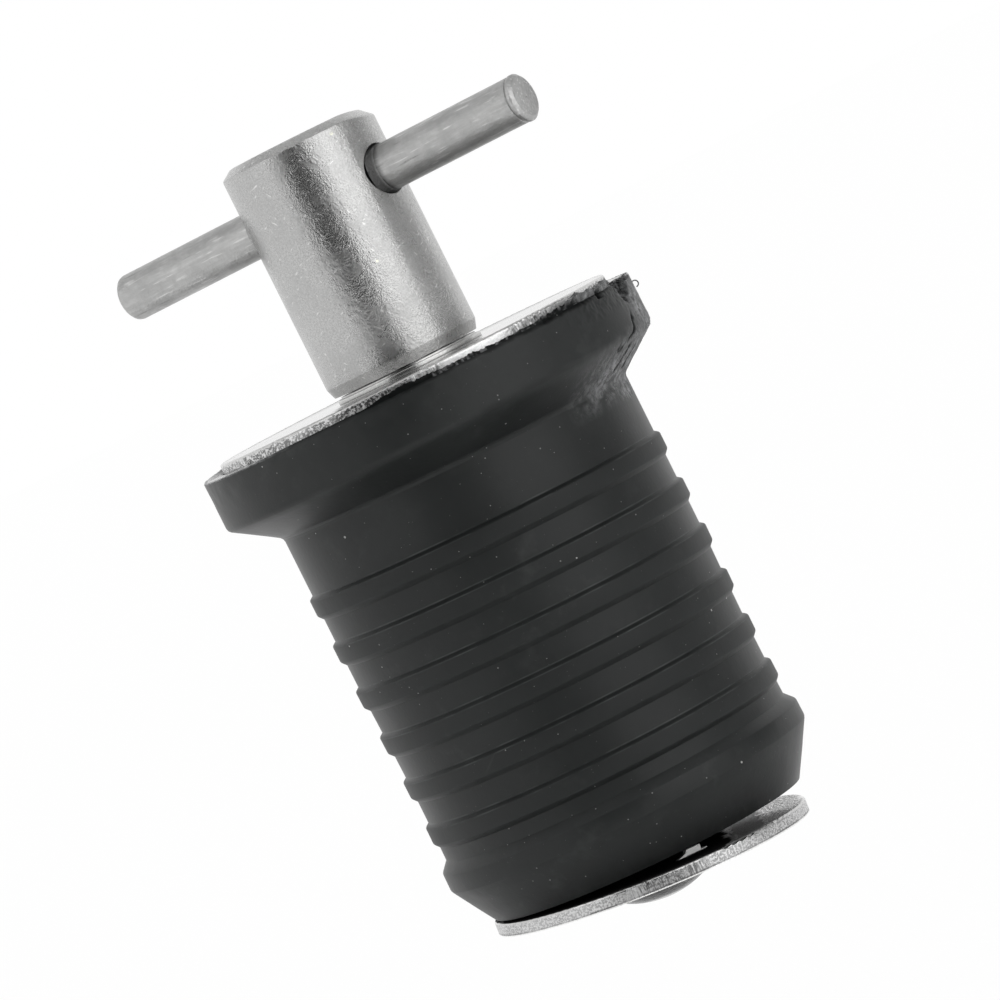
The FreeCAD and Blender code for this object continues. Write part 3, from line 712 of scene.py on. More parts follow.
for vert in pin_shape.verts:
    spot = vert.co / MM
    if math.hypot(spot.x, spot.y) > 1.2:
        radial(spot, 0.010 * noise.noise(spot * 0.8))
        vert.co = spot * MM
lay_down = (
    Matrix.Translation(PIN_CENTRE - Vector((0, 0, PIN_SAG)) * MM) @ Euler(PIN_TURN).to_matrix().to_4x4()
    @ Matrix.Rotation(math.radians(90), 4, "Y")
)
bmesh.ops.transform(pin_shape, matrix=lay_down, verts=pin_shape.verts[:])
finished(pin_shape, "pin_rod", drawn, "handle", "cross_pin", 35)

# %% [markdown]
# ## The nut's body
# The solid's own mesh serves here, because its cross hole is already cut. Its loose triangles are
# merged. Then the right mouth of the hole is pulled wider towards the front, where the real one is
# worn open, and closed a little above, below and behind. The top's right edge is worn down.


# %% Nut
def merged_copy(node_name):
    """The mesh of a node of the frame, with its loose triangles joined."""
    shape = bmesh.new()
    shape.from_mesh(nodes[node_name].data)
    bmesh.ops.remove_doubles(shape, verts=shape.verts[:], dist=0.0005 * MM)
    return shape


MOUTH_PULL = 0.40
MOUTH_SHUT = 0.20
MOUTH_REACH = 2.2
MOUTH_FROM = 4.0
WORN_FROM = 3.1
WORN_WIDTH = 1.5
WORN_DEPTH = 0.22
WORN_LEVEL = 21.5
nut = merged_copy("handle_barrel")
pin_line = Euler(PIN_TURN).to_matrix() @ Vector((1, 0, 0))
to_front = Vector((-0.492, -0.870, 0.0))
moved = 0
for vert in nut.verts:
    spot = (vert.co - PIN_CENTRE) / MM
    outward = spot.dot(pin_line)
    off = spot - pin_line * outward
    if outward > MOUTH_FROM and off.length < MOUTH_REACH:
        aim = off.normalized()
        ahead = aim.dot(to_front)
        shut = max(0.0, aim.z) + 0.6 * max(0.0, -aim.z) + max(0.0, -ahead)
        reach = math.hypot(spot.x, spot.y)
        spot += aim * (MOUTH_PULL * max(0.0, ahead) - MOUTH_SHUT * shut)
        factor = reach / math.hypot(spot.x, spot.y)
        spot.x *= factor
        spot.y *= factor
        vert.co = spot * MM + PIN_CENTRE
        moved += 1
for vert in nut.verts:
    aside = (vert.co.x - PIN_CENTRE.x) / MM - WORN_FROM
    if vert.co.z > WORN_LEVEL * MM and aside > 0:
        vert.co.z -= WORN_DEPTH * (aside / WORN_WIDTH) ** 1.5 * MM
print("points of the mouth moved:", moved)
finished(nut, "nut_body", tumbled, "handle", "handle_barrel", 22)

# %% [markdown]
# ## The bottom washer
# It is the same kind of stamping as the top one, with a lug that was lanced up out of the sheet. The
# solid's mesh keeps the keyed hole and the slot. The lug is narrowed by moving its points, and the
# torn wing at its left and the small step at its right are two boxes with bevelled edges.

# %% Bottom washer
LUG_TURN = math.radians(23.0)
LUG_LEFT = -0.68
LUG_RIGHT = 0.34
SLOT_LEFT = -0.9
# The wing and the step: the middle, the size, and how far the left upper edge is lowered.
LUG_SIDES = (
    ((-1.22, -7.45, 0.03), (0.86, 0.40, 0.50), 0.29),
    ((0.56, -7.3, -0.08), (0.42, 0.52, 0.40), 0.0),
)
plate_place = (
    Matrix.Translation(BOTTOM_FACE) @ Euler(BOTTOM_LEAN).to_matrix().to_4x4()
    @ Matrix.Rotation(LUG_TURN, 4, "Z")
)
low_disc = merged_copy("bottom_washer")
bmesh.ops.transform(low_disc, matrix=plate_place.inverted(), verts=low_disc.verts[:])
for vert in low_disc.verts:
    spot = vert.co / MM
    if spot.z > 0.2:
        spot.x = LUG_RIGHT if spot.x > 0 else LUG_LEFT
    elif -0.6 < spot.z < 0.05 and abs(spot.x) < 1.4 and -7.65 < spot.y < -6.9:
        spot.x = max(SLOT_LEFT, min(LUG_RIGHT, spot.x))
    vert.co = spot * MM
for middle, size, lowered in LUG_SIDES:
    box = bmesh.new()
    bmesh.ops.create_cube(box, size=1.0)
    bmesh.ops.scale(box, vec=Vector(size) * MM, verts=box.verts[:])
    for vert in box.verts:
        if vert.co.z > 0 and vert.co.x < 0:
            vert.co.z -= lowered * MM
    bmesh.ops.translate(box, vec=Vector(middle) * MM, verts=box.verts[:])
    bmesh.ops.bevel(
        box, geom=box.edges[:], offset=0.05 * MM, offset_type="OFFSET", segments=2, profile=0.5,
        affect="EDGES", material=-1,
    )
    add_shape(low_disc, box)
bmesh.ops.transform(low_disc, matrix=plate_place, verts=low_disc.verts[:])
finished(low_disc, "low_plate", leaning_sheet, "draw_stud", "bottom_washer", 22)

# %% [markdown]
# ## The stud
# Only its low domed foot shows. The stud leans a little in the slack washer, which brings the foot
# to the right, so the solid's mesh is turned about a point in the nut's bore.

# %% Stud
STUD_LEAN = math.radians(-0.42)
STUD_PIVOT = Vector((-0.15, 0.0, 8.5)) * MM
stud_shape = merged_copy("stud")
bmesh.ops.rotate(
    stud_shape, cent=STUD_PIVOT, matrix=Matrix.Rotation(STUD_LEAN, 3, "Y"), verts=stud_shape.verts[:],
)
finished(stud_shape, "stud_body", turned, "draw_stud", "stud", 22)

# %% [markdown]
# ## Black rubber
# Moulded rubber is not one flat black: it has a soft sheen, cloudy smudges from handling, white
# specks of dust, an upper part painted a little lighter as painted light, a foot darkened as painted
# shade where the washer shades it and, at the right of the flange, a scuffed and paler patch where it
# was torn from its mould. Smudges shift colour and roughness together, and the dust is a speck mask.
# Where the rubber is torn, rubbed on its ribs or marked by the joint of the mould, and where painted
# shade lies in hollows, under the lip and at the foot, is known from its shape, so the mesh carries
# that as attributes: "torn", "crest", "seam" and one for the painted shade.

# %% Material: moulded rubber
LABELS = ("torn", "crest", "seam", "painted_shade")
rubber_black, tree, shader = new_material("Moulded rubber")
place = add_node(tree, "TexCoord").outputs["Object"]
torn, crest, seam, painted_shade = (
    add_node(tree, "Attribute", attribute_name=label).outputs["Fac"] for label in LABELS
)
cloudy = grained(tree, place, scale=130.0, detail=4.0, low=0.42, high=0.68)
smudge = grained(tree, place, scale=420.0, detail=5.0, low=0.55, high=0.76)
fine = grained(tree, place, scale=4200.0, detail=2.0)
pebble = grained(tree, place, scale=1300.0)
crumbly = grained(tree, place, scale=2300.0, detail=4.0, low=0.38, high=0.62)
broken = grained(tree, place, scale=340.0, low=0.42, high=0.62)
dust = specked(tree, place, scale=800.0, size=0.065, share=0.35)
powder = specked(tree, place, scale=2000.0, size=0.10, share=0.40)
flour = specked(tree, place, scale=3600.0, size=0.13, share=0.30)
rubs = nicked(tree, unroll(tree, place, 13.0 * MM), turn=0.6, scale=1500.0, length=7.0, share=0.22)
height = axis_of(tree, place, "Z")
# The upper part is painted a little lighter, as painted light.
painted_top_light = times(tree, ramp(tree, height, -5.0 * MM, -1.5 * MM), varied(tree, cloudy, 0.10, 0.22))
colour = layered(tree, cloudy, (0.0115, 0.0132, 0.0130), (0.0165, 0.0185, 0.0182))
for mask, shade in (
    (times(tree, smudge, cloudy), (0.045, 0.047, 0.047)),
    (painted_top_light, (0.045, 0.048, 0.047)),
    (times(tree, torn, varied(tree, crumbly, 0.22, 1.0)), (0.38, 0.383, 0.39)),
    # Hollows, the band under the lip and the foot near the washer are painted almost black: painted shade.
    (times(tree, painted_shade, varied(tree, crumbly, 1.0, 0.72)), (0.003, 0.0032, 0.0032)),
    (times(tree, seam, broken), (0.055, 0.060, 0.059)),
    (times(tree, rubs, varied(tree, cloudy, 0.0, 0.5)), (0.05, 0.052, 0.052)),
    (times(tree, flour, 0.5), grey(0.10)),
    (powder, (0.20, 0.20, 0.195)),
    (dust, (0.42, 0.42, 0.41)),
):
    colour = layered(tree, mask, colour, shade)
dull = maths(tree, "ADD", varied(tree, cloudy, 0.38, 0.46), varied(tree, crest, 0.0, 0.10))
dull = maths(tree, "ADD", dull, varied(tree, torn, 0.0, 0.20))
dull = times(tree, dull, varied(tree, ramp(tree, height, 5.40 * MM, 5.48 * MM), 1.0, 0.25))
# Less sheen where the shade is painted.
tree.links.new(varied(tree, painted_shade, 0.31, 0.03), shader.inputs["Specular IOR Level"])
finish_surface(tree, shader, colour, dull, [
    (times(tree, torn, crumbly), 0.8, 0.00012), (pebble, 0.10, 0.00004), (fine, 0.12, 0.00002),
])
print("material:", rubber_black.name)

# %% [markdown]
# ## The rubber bung
# The bung's outline runs from the bore over the washer's seat, down the flange, the cone and the
# ribs to the foot. The rows lie closer near the flange's upper edge, where the torn lip is shaped
# afterwards by moving points. The lower end is cut by a slightly leaning plane, as the real one is
# trimmed.

# %% Outline of the bung
FLANGE_RADIUS = 15.1
FLANGE_TOP = 5.5
SEAT_RADIUS = 13.8
SEAT_FLOOR = 5.2
CONE_HEIGHT = 2.1
BODY_RADIUS = 12.1
NECK_LENGTH = 4.1
RIB_PITCH = 3.24
RIB_COUNT = 6
RIB_FOOT = 1.7
RIB_HEIGHT = 0.3
SHOULDER_GAP = 0.95
SHOULDER_RISE = 0.67
SHOULDER_CREST = 1.2
SHOULDER_HEIGHT = 0.57
FOOT_LENGTH = 3.18
FOOT_RADIUS = 10.58
FOOT_SLANT = math.radians(1.3)

outline = [
    (PASSAGE_RADIUS, SEAT_FLOOR, 0.0), (SEAT_RADIUS, SEAT_FLOOR, 0.0), (SEAT_RADIUS, FLANGE_TOP, 0.0),
]
outline += [(radius, FLANGE_TOP, 0.0) for radius in (14.1, 14.35, 14.55, 14.7, 14.82, 14.92, 15.0, 15.06)]
outline += [(FLANGE_RADIUS, FLANGE_TOP - 0.06 - 0.1 * step, 0.0) for step in range(9)]
outline += [(FLANGE_RADIUS, level, 0.0) for level in (4.4, 4.2, 4.0, 3.7, 3.4, 3.1, 2.8, 2.5)]
outline += [(FLANGE_RADIUS, CONE_HEIGHT, 0.22)]
for part in (0.2, 0.32, 0.44, 0.56, 0.68, 0.8):
    outline.append((
        FLANGE_RADIUS + (BODY_RADIUS - FLANGE_RADIUS) * part, CONE_HEIGHT * (1 - part), 0.0,
    ))
outline += [(BODY_RADIUS, 0.0, 0.22)]
outline += [(BODY_RADIUS, level, 0.0) for level in (-0.45, -0.75, -1.05, -1.6, -2.6)]
RIB_TOPS = [-NECK_LENGTH - RIB_PITCH * rib for rib in range(RIB_COUNT)]
for level in RIB_TOPS:
    outline += [
        (BODY_RADIUS, level + 0.12, 0.0),
        (BODY_RADIUS, level + 0.04, 0.0),
        (BODY_RADIUS, level - 0.01, 0.0),
        (BODY_RADIUS + RIB_HEIGHT, level - 0.23, 0.07),
        (BODY_RADIUS + RIB_HEIGHT, level - 0.34, 0.0),
        (BODY_RADIUS + RIB_HEIGHT, level - RIB_FOOT + 0.38, 0.08),
        (BODY_RADIUS, level - RIB_FOOT + 0.04, 0.0),
    ]
shoulder = RIB_TOPS[-1] - RIB_FOOT - SHOULDER_GAP
crest_top = shoulder - SHOULDER_RISE
crest_foot = crest_top - SHOULDER_CREST
outline += [
    (BODY_RADIUS, shoulder, 0.0),
    (BODY_RADIUS + SHOULDER_HEIGHT, crest_top, 0.10),
    (BODY_RADIUS + SHOULDER_HEIGHT, crest_foot, 0.12),
]
bung_end = crest_foot - FOOT_LENGTH
low_end = bung_end - FOOT_RADIUS * math.tan(FOOT_SLANT)
for part in (0.2, 0.35, 0.5, 0.65, 0.8):
    outline.append((
        BODY_RADIUS + SHOULDER_HEIGHT + (FOOT_RADIUS - BODY_RADIUS - SHOULDER_HEIGHT) * part,
        crest_foot + (low_end - crest_foot) * part, 0.0,
    ))
outline += [(FOOT_RADIUS, low_end, 0.0), (PASSAGE_RADIUS, low_end, 0.0)]
print(len(outline), "points, from", SEAT_FLOOR, "to", round(bung_end, 2), "mm")

# %% Spin it and trim the lower end
rubber_shape = spin_outline(outline, 600)
bmesh.ops.bisect_plane(
    rubber_shape, geom=rubber_shape.verts[:] + rubber_shape.edges[:] + rubber_shape.faces[:],
    plane_co=Vector((0, 0, bung_end)) * MM, plane_no=(-math.sin(FOOT_SLANT), 0, -math.cos(FOOT_SLANT)),
    clear_outer=True,
)
open_edges = [edge for edge in rubber_shape.edges if edge.is_boundary]
bmesh.ops.bridge_loops(rubber_shape, edges=open_edges)
print("trimmed:", len(rubber_shape.faces), "faces")

# %% Finer faces where it is torn
TORN_FROM = 38
TORN_TO = 100
RAGGED_FROM = -20


def in_torn_zone(face):
    """Faces of the flange, the cone and the upper neck at the right, and of the ragged upper edge."""
    middle = face.calc_center_median() / MM
    reach = math.hypot(middle.x, middle.y)
    if middle.z > 4.9 and reach > 14.4 and RAGGED_FROM < bearing_of(middle) <= TORN_FROM:
        return True
    on_outside = reach > 12.0 and -1.2 < middle.z < FLANGE_TOP + 0.1 and (reach > 13.9 or middle.z < 5.0)
    return on_outside and TORN_FROM < bearing_of(middle) < TORN_TO


fine_edges = dict.fromkeys(edge for face in rubber_shape.faces if in_torn_zone(face) for edge in face.edges)
bmesh.ops.subdivide_edges(rubber_shape, edges=list(fine_edges), cuts=1, use_grid_fill=True)
bmesh.ops.recalc_face_normals(rubber_shape, faces=rubber_shape.faces[:])
print("with the torn zone divided:", len(rubber_shape.faces), "faces")

# %% [markdown]
# ### The torn lip
# Where the mould closed, a thin lip of rubber stands on the flange's upper edge. It hardly shows at
# the left, rises in front to about a third of a millimetre and breaks up at the right: a lumpy
# stretch, a notch, a lump, a deep gouge and a last thin flap. Its height is given at a few bearings
# and blended between them, and noise makes it ragged. Below the lip the edge is undercut, and on the
# cone the torn rubber is scuffed and cracked. The same steps write the attributes.

# %% Shapes of the damage
# Bearing in degrees from the front, and the height of the lip in millimetres.
LIP_STATIONS = [
    (-180, 0.05), (-130, 0.20), (-115, 0.26), (-103, 0.12), (-90, 0.06), (-80, 0.01), (-60, 0.01),
    (-44, 0.03), (-28, 0.04), (-14, 0.03), (-10, 0.18), (-4, 0.34), (4, 0.27), (10, 0.15), (15, 0.18),
    (21, 0.07), (28, 0.08), (36, 0.16), (42, 0.22), (46, 0.30), (50, 0.40), (53, 0.42), (54.9, 0.34),
    (55.5, -0.05), (57.4, -0.05), (58.2, 0.20), (60, 0.30), (62.4, 0.43), (63.6, 0.20), (64.5, -0.10),
    (71, -0.20), (74, -0.06), (76.5, 0.08), (80, 0.14), (84, 0.02), (95, 0.0), (140, 0.05), (180, 0.05),
]
# Radius, and the share of that height; the torn lip is broader than the sound one.
LIP_SHARES = [(13.8, 0.0), (14.7, 0.0), (14.82, 0.25), (14.92, 0.80), (15.0, 1.0), (15.2, 1.0)]
TORN_SHARES = [(13.8, 0.0), (14.1, 0.45), (14.35, 0.75), (14.7, 0.95), (15.0, 1.0), (15.2, 0.9)]
# Bearing, and how much it is torn, scuffed, undercut, ragged, worn at the edge or shaded at the foot.
TORN_STATIONS = [
    (-180, 0), (30, 0), (38, 0.3), (50, 1), (55, 1), (56.5, 0.5), (58.2, 1), (70, 1), (74, 0.6),
    (80, 0.2), (88, 0.1), (180, 0),
]
SCUFF_STATIONS = [
    (-180, 0), (38, 0), (48, 0.35), (56, 0.75), (64, 1), (86, 1), (96, 0.4), (110, 0), (180, 0),
]
UNDERCUT_STATIONS = [
    (-180, 0.0), (-90, 0.0), (-50, 0.2), (-12, 0.35), (0, 0.5), (15, 0.6), (25, 0.8), (35, 1), (57, 1),
    (62, 0.7), (66, 0), (180, 0),
]
RAGGED_STATIONS = [(-180, 0.25), (-20, 0.3), (-6, 0.7), (12, 1.0), (180, 1.0)]
WORN_EDGE = [(-180, 0.0), (-96, 0.0), (-88, 1.0), (-52, 0.9), (-34, 0.0), (180, 0.0)]
FOOT_SHADE = [(-180, 0.3), (-75, 0.0), (-40, 0.8), (0, 1.0), (40, 1.0), (60, 0.4), (80, 0.0), (180, 0.3)]
# Bearing, and where the band of painted shade under the lip begins, from the flange's top.
BAND_TOPS = [(-180, 0.3), (34, 0.3), (50, -0.10), (66, -0.14), (180, -0.14)]
NOTCH_AT, NOTCH_HALF, NOTCH_FLOOR = 56.5, 1.3, -0.5
# Each crack is a line of bearings and levels.
CRACKS = [
    [(67.2, 3.15), (66.6, 2.8), (65.4, 2.35), (63.8, 2.05), (61.9, 1.85)],
    [(65.5, 1.5), (65.0, 1.2), (63.6, 1.05), (62.9, 0.7), (61.6, 0.55)],
    [(71.5, 1.2), (70.6, 0.85), (69.9, 0.8), (69.0, 0.45)],
    [(57.5, 1.7), (58.5, 1.55), (59.6, 1.62)],
]
CRACK_WIDTH = 0.17
# The body is a little waisted, and its ribs slant and sag a little: level, and how much.
WAIST_LEVEL, WAIST_HALF, WAIST_DEPTH = -18.5, 9.0, 0.136
RIB_SLANTS = [
    (-40, 0.0), (-24.5, 0.0), (-22, 0.004), (-18.5, 0.0068), (-15, 0.008), (-12, 0.0115), (-8, 0.0135),
    (-4, 0.012), (0.3, 0.011), (2.1, 0.0), (40, 0.0),
]
RIB_SAGS = [(-40, 0.0), (-24, 0.0), (-22, 0.05), (-15, 0.10), (-8, 0.06), (-3, 0.0), (40, 0.0)]


print("stations of the lip:", len(LIP_STATIONS))


# %% Humps, lumps and cracks
def hump(value, middle, half):
    """1 at the middle, 0 beyond half to each side, rounded."""
    share = max(0.0, 1 - ((value - middle) / half) ** 2)
    return share * share


def lumps(spot, fineness, shift=0.0):
    """Noise at a place of the bung, about -1 to 1."""
    return noise.noise((spot + Vector((0, 0, shift))) * fineness)


def gouge(bearing, above):
    """How deep the gouge is, 0 to 1; it narrows as it goes down."""
    down = (0.35 - above) / 1.95
    fade = 1.0
    if down < 0 or down > 1:
        down = clamped(down)
        fade = max(0.0, 1 - abs(above - (0.35 if down == 0 else -1.6)) / 0.25)
    return min(1.0, 2.2 * hump(bearing, 69.6 + 1.2 * down, 8.0 - 5.6 * down)) * fade


def crack(bearing, level):
    """How near a place is to one of the cracks, 1 on the crack and 0 beyond its width."""
    per_degree = FLANGE_RADIUS * math.radians(1)
    spot = Vector((bearing * per_degree, level))
    nearest = 9.0
    for line in CRACKS:
        for low, high in zip(line, line[1:]):
            first = Vector((low[0] * per_degree, low[1]))
            along = Vector((high[0] * per_degree, high[1])) - first
            share = clamped((spot - first).dot(along) / along.length_squared)
            nearest = min(nearest, (spot - first - along * share).length)
    return max(0.0, 1 - nearest / CRACK_WIDTH)


print("cracks:", len(CRACKS))


# %% Lip and undercut
def raise_lip(spot, reach, bearing, torn_here):
    """The lip on the flange's upper edge; gives back how torn it is."""
    lip = between(LIP_STATIONS, bearing)
    rough = between(RAGGED_STATIONS, bearing)
    ragged = lip * (0.45 * lumps(spot, 1.2) + 0.35 * lumps(spot, 3.6, 3)) + 0.10 * lumps(spot, 6.0, 4)
    lip += rough * ragged
    share = between(LIP_SHARES, reach) * (1 - torn_here) + between(TORN_SHARES, reach) * torn_here
    crumble = torn_here * 0.22 * (lumps(spot, 2.6, 5) + 0.6 * lumps(spot, 6.0, 8)) * hump(reach, 14.6, 0.75)
    spot.z += lip * share + crumble
    spot.z -= 0.09 * between(WORN_EDGE, bearing) * clamped((reach - 14.75) / 0.3)
    return 0.45 * torn_here * min(1.0, share * 1.3)


def undercut(spot, reach, bearing, above, torn_here, on_top, torn_value):
    """The edge that flares out over a dark groove; gives back how torn it is and its painted shade."""
    flare = between(UNDERCUT_STATIONS, bearing)
    on_side = reach > 15.0
    lean = clamped((above + 0.05) / 0.1) if on_side else 1.0
    groove = hump(above, -0.12, 0.22) if on_side else 0.0
    shade_value = 0.0
    if reach > 14.85:
        radial(spot, 0.10 * flare * (1 if on_top else lean) - 0.07 * flare * groove)
        radial(spot, 0.03 * lumps(spot, 1.1, 7) + 0.03 * torn_here * lumps(spot, 4.5, 2))
    if on_side:
        band_top = between(BAND_TOPS, bearing) + 0.05 * lumps(spot, 2.0, 6)
        ragged = 0.10 * lumps(spot, 1.3) + 0.04 * lumps(spot, 4.0, 2)
        inside = clamped((above + 0.12 + 0.30 * flare + ragged) / 0.22)
        beneath = clamped((band_top - above) / 0.06 + 0.5)
        shade_value = min(1.0, 2.5 * flare) * inside * beneath * (0.75 if bearing < 35 else 0.95)
        torn_value = 0.45 * torn_here * (1 - beneath) if above > -0.3 else 0.0
    if above > -0.10 and reach > 14.9:
        torn_value = max(torn_value, between(WORN_EDGE, bearing))
        crumbs = between(RAGGED_STATIONS, bearing) if 4 < bearing < 57 else 0.0
        torn_value = max(torn_value, crumbs * min(0.6, max(0.0, 2.4 * lumps(spot, 4.0, 11))))
        shade_value *= 1 - torn_value
    return torn_value, shade_value


print("lip and undercut ready")


# %% Notch, gouge and scuffs
def tear_out(spot, bearing, above, torn_value, shade_value):
    """The notch and the gouge in the flange's edge; gives back how torn they are and their painted shade.
    """
    near_notch = hump(bearing, NOTCH_AT, NOTCH_HALF) if above > NOTCH_FLOOR else 0.0
    if near_notch > 0:
        radial(spot, -0.30 * min(1.0, 2 * near_notch))
        shade_value = max(shade_value, min(1.0, 2.5 * near_notch))
    shaky = bearing + 1.5 * lumps(spot, 2.2, 1) + 0.9 * lumps(spot, 5.0, 2)
    depth = gouge(shaky, above + 0.15 * lumps(spot, 3.0, 6))
    if above > -0.3:
        shade_value = max(shade_value, min(1.0, 1.6 * hump(bearing, 79.5, 5.0)))
    if depth > 0:
        radial(spot, -0.45 * depth * (1 + 0.4 * lumps(spot, 3.0, 4)) + 0.16 * depth * lumps(spot, 6.0))
        crumb = clamped(0.55 + 1.7 * lumps(spot, 3.2, 12))
        shade_value = max(shade_value, min(1.0, 1.4 * depth) * (0.25 + 0.75 * crumb))
        torn_value = max(torn_value * (1 - 0.6 * depth), 0.55 * depth * (1 - crumb))
    return torn_value, shade_value


def scuff(spot, bearing, scuff_here, torn_value, shade_value):
    """Wrinkles, scuffs and cracks on the cone and the flange's side; the wrinkles run up to the right, and
    the cracks get painted shade.
    """
    rising = 0.92 * spot.x + 0.40 * spot.z
    across = 0.92 * spot.z - 0.40 * spot.x
    wrinkle = lumps(Vector((rising * 1.1, across * 1.7, spot.y * 0.35)), 1.0)
    pick = lumps(Vector((rising * 2.6, across * 3.6, 4.0 + spot.y * 0.8)), 1.0)
    amount = scuff_here * hump(spot.z, 0.9 + 0.03 * (bearing - 70), 2.2)
    radial(spot, amount * (0.09 * wrinkle + 0.06 * pick))
    torn_value = max(torn_value, amount * clamped(0.80 + 1.3 * wrinkle + 1.0 * pick))
    worn_side = 0.95 * scuff_here * clamped((bearing - 64) / 12)
    torn_value = max(torn_value, worn_side * max(0.0, 0.75 + 0.6 * wrinkle + 0.4 * pick))
    split = crack(bearing + 0.8 * lumps(spot, 2.0, 9), spot.z)
    if split > 0:
        radial(spot, -0.13 * split)
        shade_value = max(shade_value, min(1.0, 1.3 * split))
        torn_value *= 1 - split
    return torn_value, shade_value


print("notch, gouge and scuffs ready")

# %% Shape the damage
SHADE_HEIGHT = 2.6
layers = {label: rubber_shape.verts.layers.float.new(label) for label in LABELS}
rubber_shape.verts.ensure_lookup_table()
for vert in rubber_shape.verts:
    spot = vert.co / MM
    reach = math.hypot(spot.x, spot.y)
    bearing = bearing_of(spot)
    # The foot near the lower washer is darkened as painted shade.
    near_washer = clamped((bung_end + SHADE_HEIGHT - spot.z) / SHADE_HEIGHT) if reach > 10.0 else 0.0
    foot_shade = 0.85 * near_washer ** 1.5 * between(FOOT_SHADE, bearing)
    vert[layers["painted_shade"]] = foot_shade
    if reach < 11.9:
        continue
    plain_level = spot.z
    above = spot.z - FLANGE_TOP
    radial(spot, -WAIST_DEPTH * hump(spot.z, WAIST_LEVEL, WAIST_HALF))
    spot.z -= between(RIB_SLANTS, spot.z) * spot.x + between(RIB_SAGS, spot.z)
    torn_here = between(TORN_STATIONS, bearing)
    scuff_here = between(SCUFF_STATIONS, bearing)
    on_top = above > -0.001 and reach > 13.9
    torn_value = shade_value = 0.0
    if on_top:
        torn_value = raise_lip(spot, reach, bearing, torn_here)
    if on_top or (reach > 15.0 and above > -1.6):
        torn_value, shade_value = undercut(spot, reach, bearing, above, torn_here, on_top, torn_value)
        torn_value, shade_value = tear_out(spot, bearing, above, torn_value, shade_value)
    if scuff_here > 0 and -1.3 < spot.z < 5.2 and reach > 12.0:
        torn_value, shade_value = scuff(spot, bearing, scuff_here, torn_value, shade_value)
    for level in RIB_TOPS:
        if level - RIB_FOOT + 0.3 < plain_level < level - 0.1 and reach > BODY_RADIUS + 0.2:
            vert[layers["crest"]] = 1.0
        if abs(plain_level - (level + 0.04)) < 0.02 or abs(plain_level - (level - 0.235)) < 0.03:
            vert[layers["seam"]] = 1.0
    vert[layers["torn"]] = clamped(torn_value)
    vert[layers["painted_shade"]] = max(foot_shade, min(1.0, shade_value))
    vert.co = spot * MM
print("lip, gouge and scuffs shaped")

# %% A curl of rubber
# One thin crumb still hangs at the right of the flange. It is a small hook, spun from a circle.
CURL_FOOT = Vector((15.05, -0.4, 4.45))
CURL_BEND = 0.22
CURL_SHIFT = 0.14
curl_shape = bmesh.new()
bmesh.ops.create_circle(
    curl_shape, cap_ends=True, radius=0.042 * MM, segments=8,
    matrix=Matrix.Translation(CURL_FOOT * MM) @ Matrix.Rotation(math.radians(90), 4, "Y"),
)
end_face = curl_shape.faces[:]
bmesh.ops.spin(
    curl_shape, geom=end_face + [edge for face in end_face for edge in face.edges],
    cent=(CURL_FOOT + Vector((0, 0, CURL_BEND))) * MM, axis=(0, -1, 0), angle=math.radians(205), steps=14,
)
for vert in curl_shape.verts:
    vert.co.x += CURL_SHIFT * MM
before = len(rubber_shape.verts)
add_shape(rubber_shape, curl_shape)
rubber_shape.verts.ensure_lookup_table()
for vert in rubber_shape.verts[before:]:
    vert[layers["torn"]] = 1.0
print("curl:", len(rubber_shape.verts) - before, "points")

# %% Finish the bung
SOFT_FROM = 1.7
bmesh.ops.recalc_face_normals(rubber_shape, faces=rubber_shape.faces[:])
sharpen(rubber_shape, 12, keep_soft=lambda edge: min(vert.co.z for vert in edge.verts) > SOFT_FROM * MM)
rubber_bung = finished(rubber_shape, "rubber_bung", rubber_black, "bung", "rubber_plug", 60)
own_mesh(rubber_bung)

# %% [markdown]
# ## Floor, cards and light
# The photograph was taken in a light tent with a white background. The world is white to the
# camera and in reflections. Cards stand out of the camera's sight, as a photographer uses them: a
# dark one in front, which gives the metal its dark streak, a grey one at the right, a pale ceiling
# and a small pale one below. Soft boxes at the right and at the left give the bright streaks.


# %% Stage helpers
def plain_panel(name, width, height, matrix, material):
    """A flat rectangle, placed in its mesh."""
    shape = bmesh.new()
    bmesh.ops.create_grid(shape, x_segments=1, y_segments=1, size=0.5)
    bmesh.ops.scale(shape, vec=(width, height, 1), verts=shape.verts[:])
    bmesh.ops.transform(shape, matrix=matrix, verts=shape.verts[:])
    mesh = bpy.data.meshes.new(name)
    shape.to_mesh(mesh)
    shape.free()
    mesh.materials.append(material)
    panel = bpy.data.objects.new(name, mesh)
    bpy.context.scene.collection.objects.link(panel)
    return panel


def seen_directly(tree):
    """1 for rays from the camera, from mirrors and through glass, otherwise 0."""
    path = add_node(tree, "LightPath").outputs
    either = maths(tree, "MAXIMUM", path["Is Camera Ray"], path["Is Glossy Ray"])
    return maths(tree, "MAXIMUM", either, path["Is Transmission Ray"])


def card_paint(name, shade):
    """A matt paint for a card, without any gloss."""
    paint, _, shader = new_material(name)
    shader.inputs["Base Color"].default_value = (*grey(shade), 1.0)
    shader.inputs["Roughness"].default_value = 1.0
    shader.inputs["Specular IOR Level"].default_value = 0.0
    return paint


def facing_object(bearing, elevation, distance):
    """Where something stands that faces the object, at a bearing from the camera's side."""
    turn = Euler((math.radians(90 - elevation), 0.0, math.radians(bearing)))
    back = turn.to_matrix() @ Vector((0, 0, distance))
    return Matrix.Translation(back) @ turn.to_matrix().to_4x4()


print("stage helpers ready")

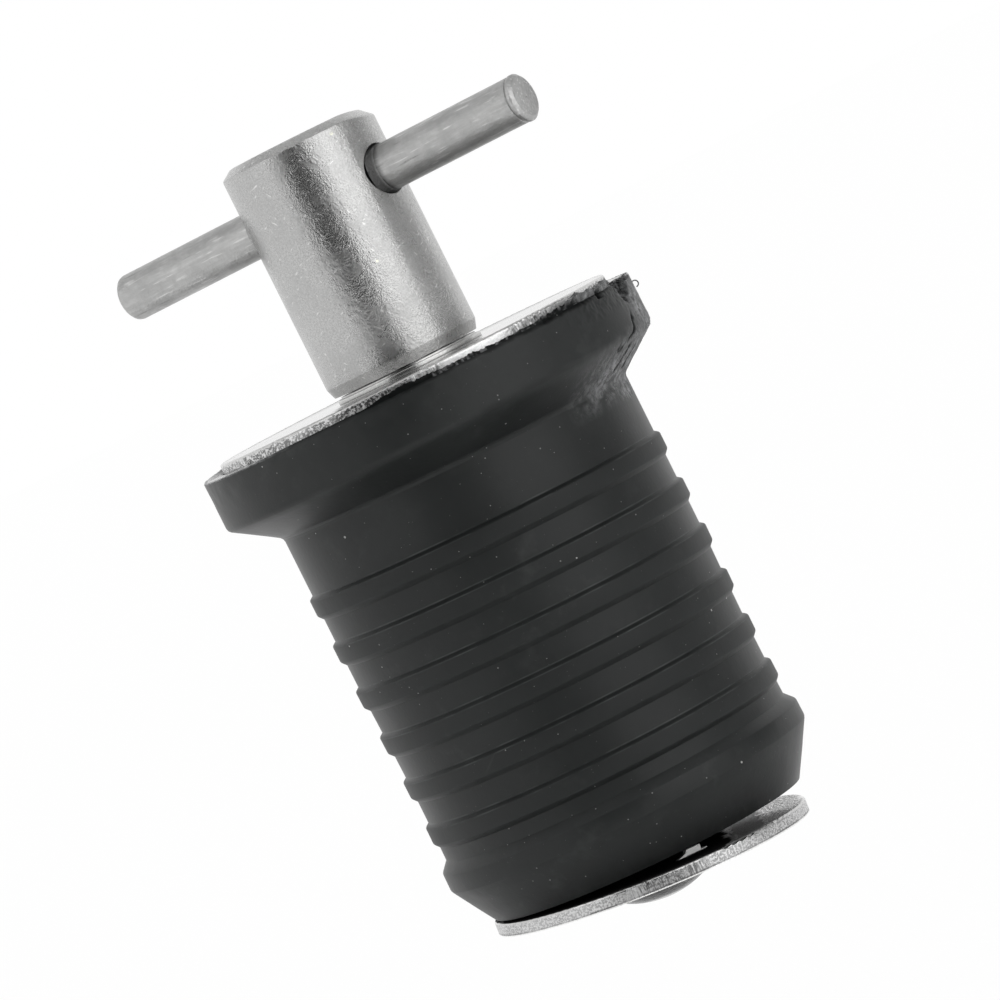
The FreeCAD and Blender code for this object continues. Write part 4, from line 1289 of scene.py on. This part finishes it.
# %% Floor
FLOOR_LEVEL = -0.08
floor_paint, tree, shader = new_material("Floor")
shader.inputs["Base Color"].default_value = (0.9, 0.9, 0.9, 1.0)
shader.inputs["Roughness"].default_value = 0.9
glow = add_node(tree, "Emission", {"Color": (1.0, 1.0, 1.0, 1.0), "Strength": 1.0})
share = times(tree, seen_directly(tree), 0.975)
blend = add_node(tree, "MixShader", {0: share, 1: shader.outputs[0], 2: glow.outputs[0]})
end = next(item for item in tree.nodes if item.type == "OUTPUT_MATERIAL")
tree.links.new(blend.outputs[0], end.inputs["Surface"])
plain_panel("floor", 20.0, 20.0, Matrix.Translation((0, 0, FLOOR_LEVEL)), floor_paint)

print("floor placed")

# %% Cards
overhead = Matrix.Translation((0, 0, 0.5))
on_floor = Matrix.Translation((0, 0, FLOOR_LEVEL + 0.004))
for name, shade, width, height, matrix, casts_shadow in (
    ("front_card", 0.03, 0.50, 0.60, facing_object(-10.5, 5, 0.60), True),
    ("side_card", 0.66, 0.50, 1.2, facing_object(92, 0, 0.50), True),
    ("ceiling_card", 0.97, 1.0, 1.0, overhead, False),
    ("low_card", 0.90, 0.15, 0.15, on_floor, False),
):
    card = plain_panel(name, width, height, matrix, card_paint(name, shade))
    card.visible_camera = False
    card.visible_shadow = casts_shadow
print("cards placed")


# %% Lamps and world
def soft_lamp(name, radiance, width, height, matrix):
    """A rectangular soft box that adds so much to the white behind it in a reflection."""
    data = bpy.data.lights.new(name, "AREA")
    data.shape = "RECTANGLE"
    data.size = width
    data.size_y = height
    data.energy = radiance * math.pi * width * height
    lamp = bpy.data.objects.new(name, data)
    bpy.context.scene.collection.objects.link(lamp)
    lamp.matrix_world = matrix


WORLD_LIGHT = 0.85
soft_lamp("Right box", 0.68, 0.50, 1.0, facing_object(38.5, 5, 0.55))
soft_lamp("Left box", 0.50, 0.25, 0.22, facing_object(-56, 37, 0.60))
world = bpy.data.worlds.new("World")
bpy.context.scene.world = world
world.use_nodes = True
tree = world.node_tree
tree.nodes.clear()
sky = add_node(tree, "Background", {
    "Color": (1.0, 1.0, 1.0, 1.0), "Strength": varied(tree, seen_directly(tree), WORLD_LIGHT, 1.0),
})
add_node(tree, "OutputWorld", {"Surface": sky.outputs[0]})
bpy.context.scene.view_settings.view_transform = "Standard"
print("lamps and world ready")
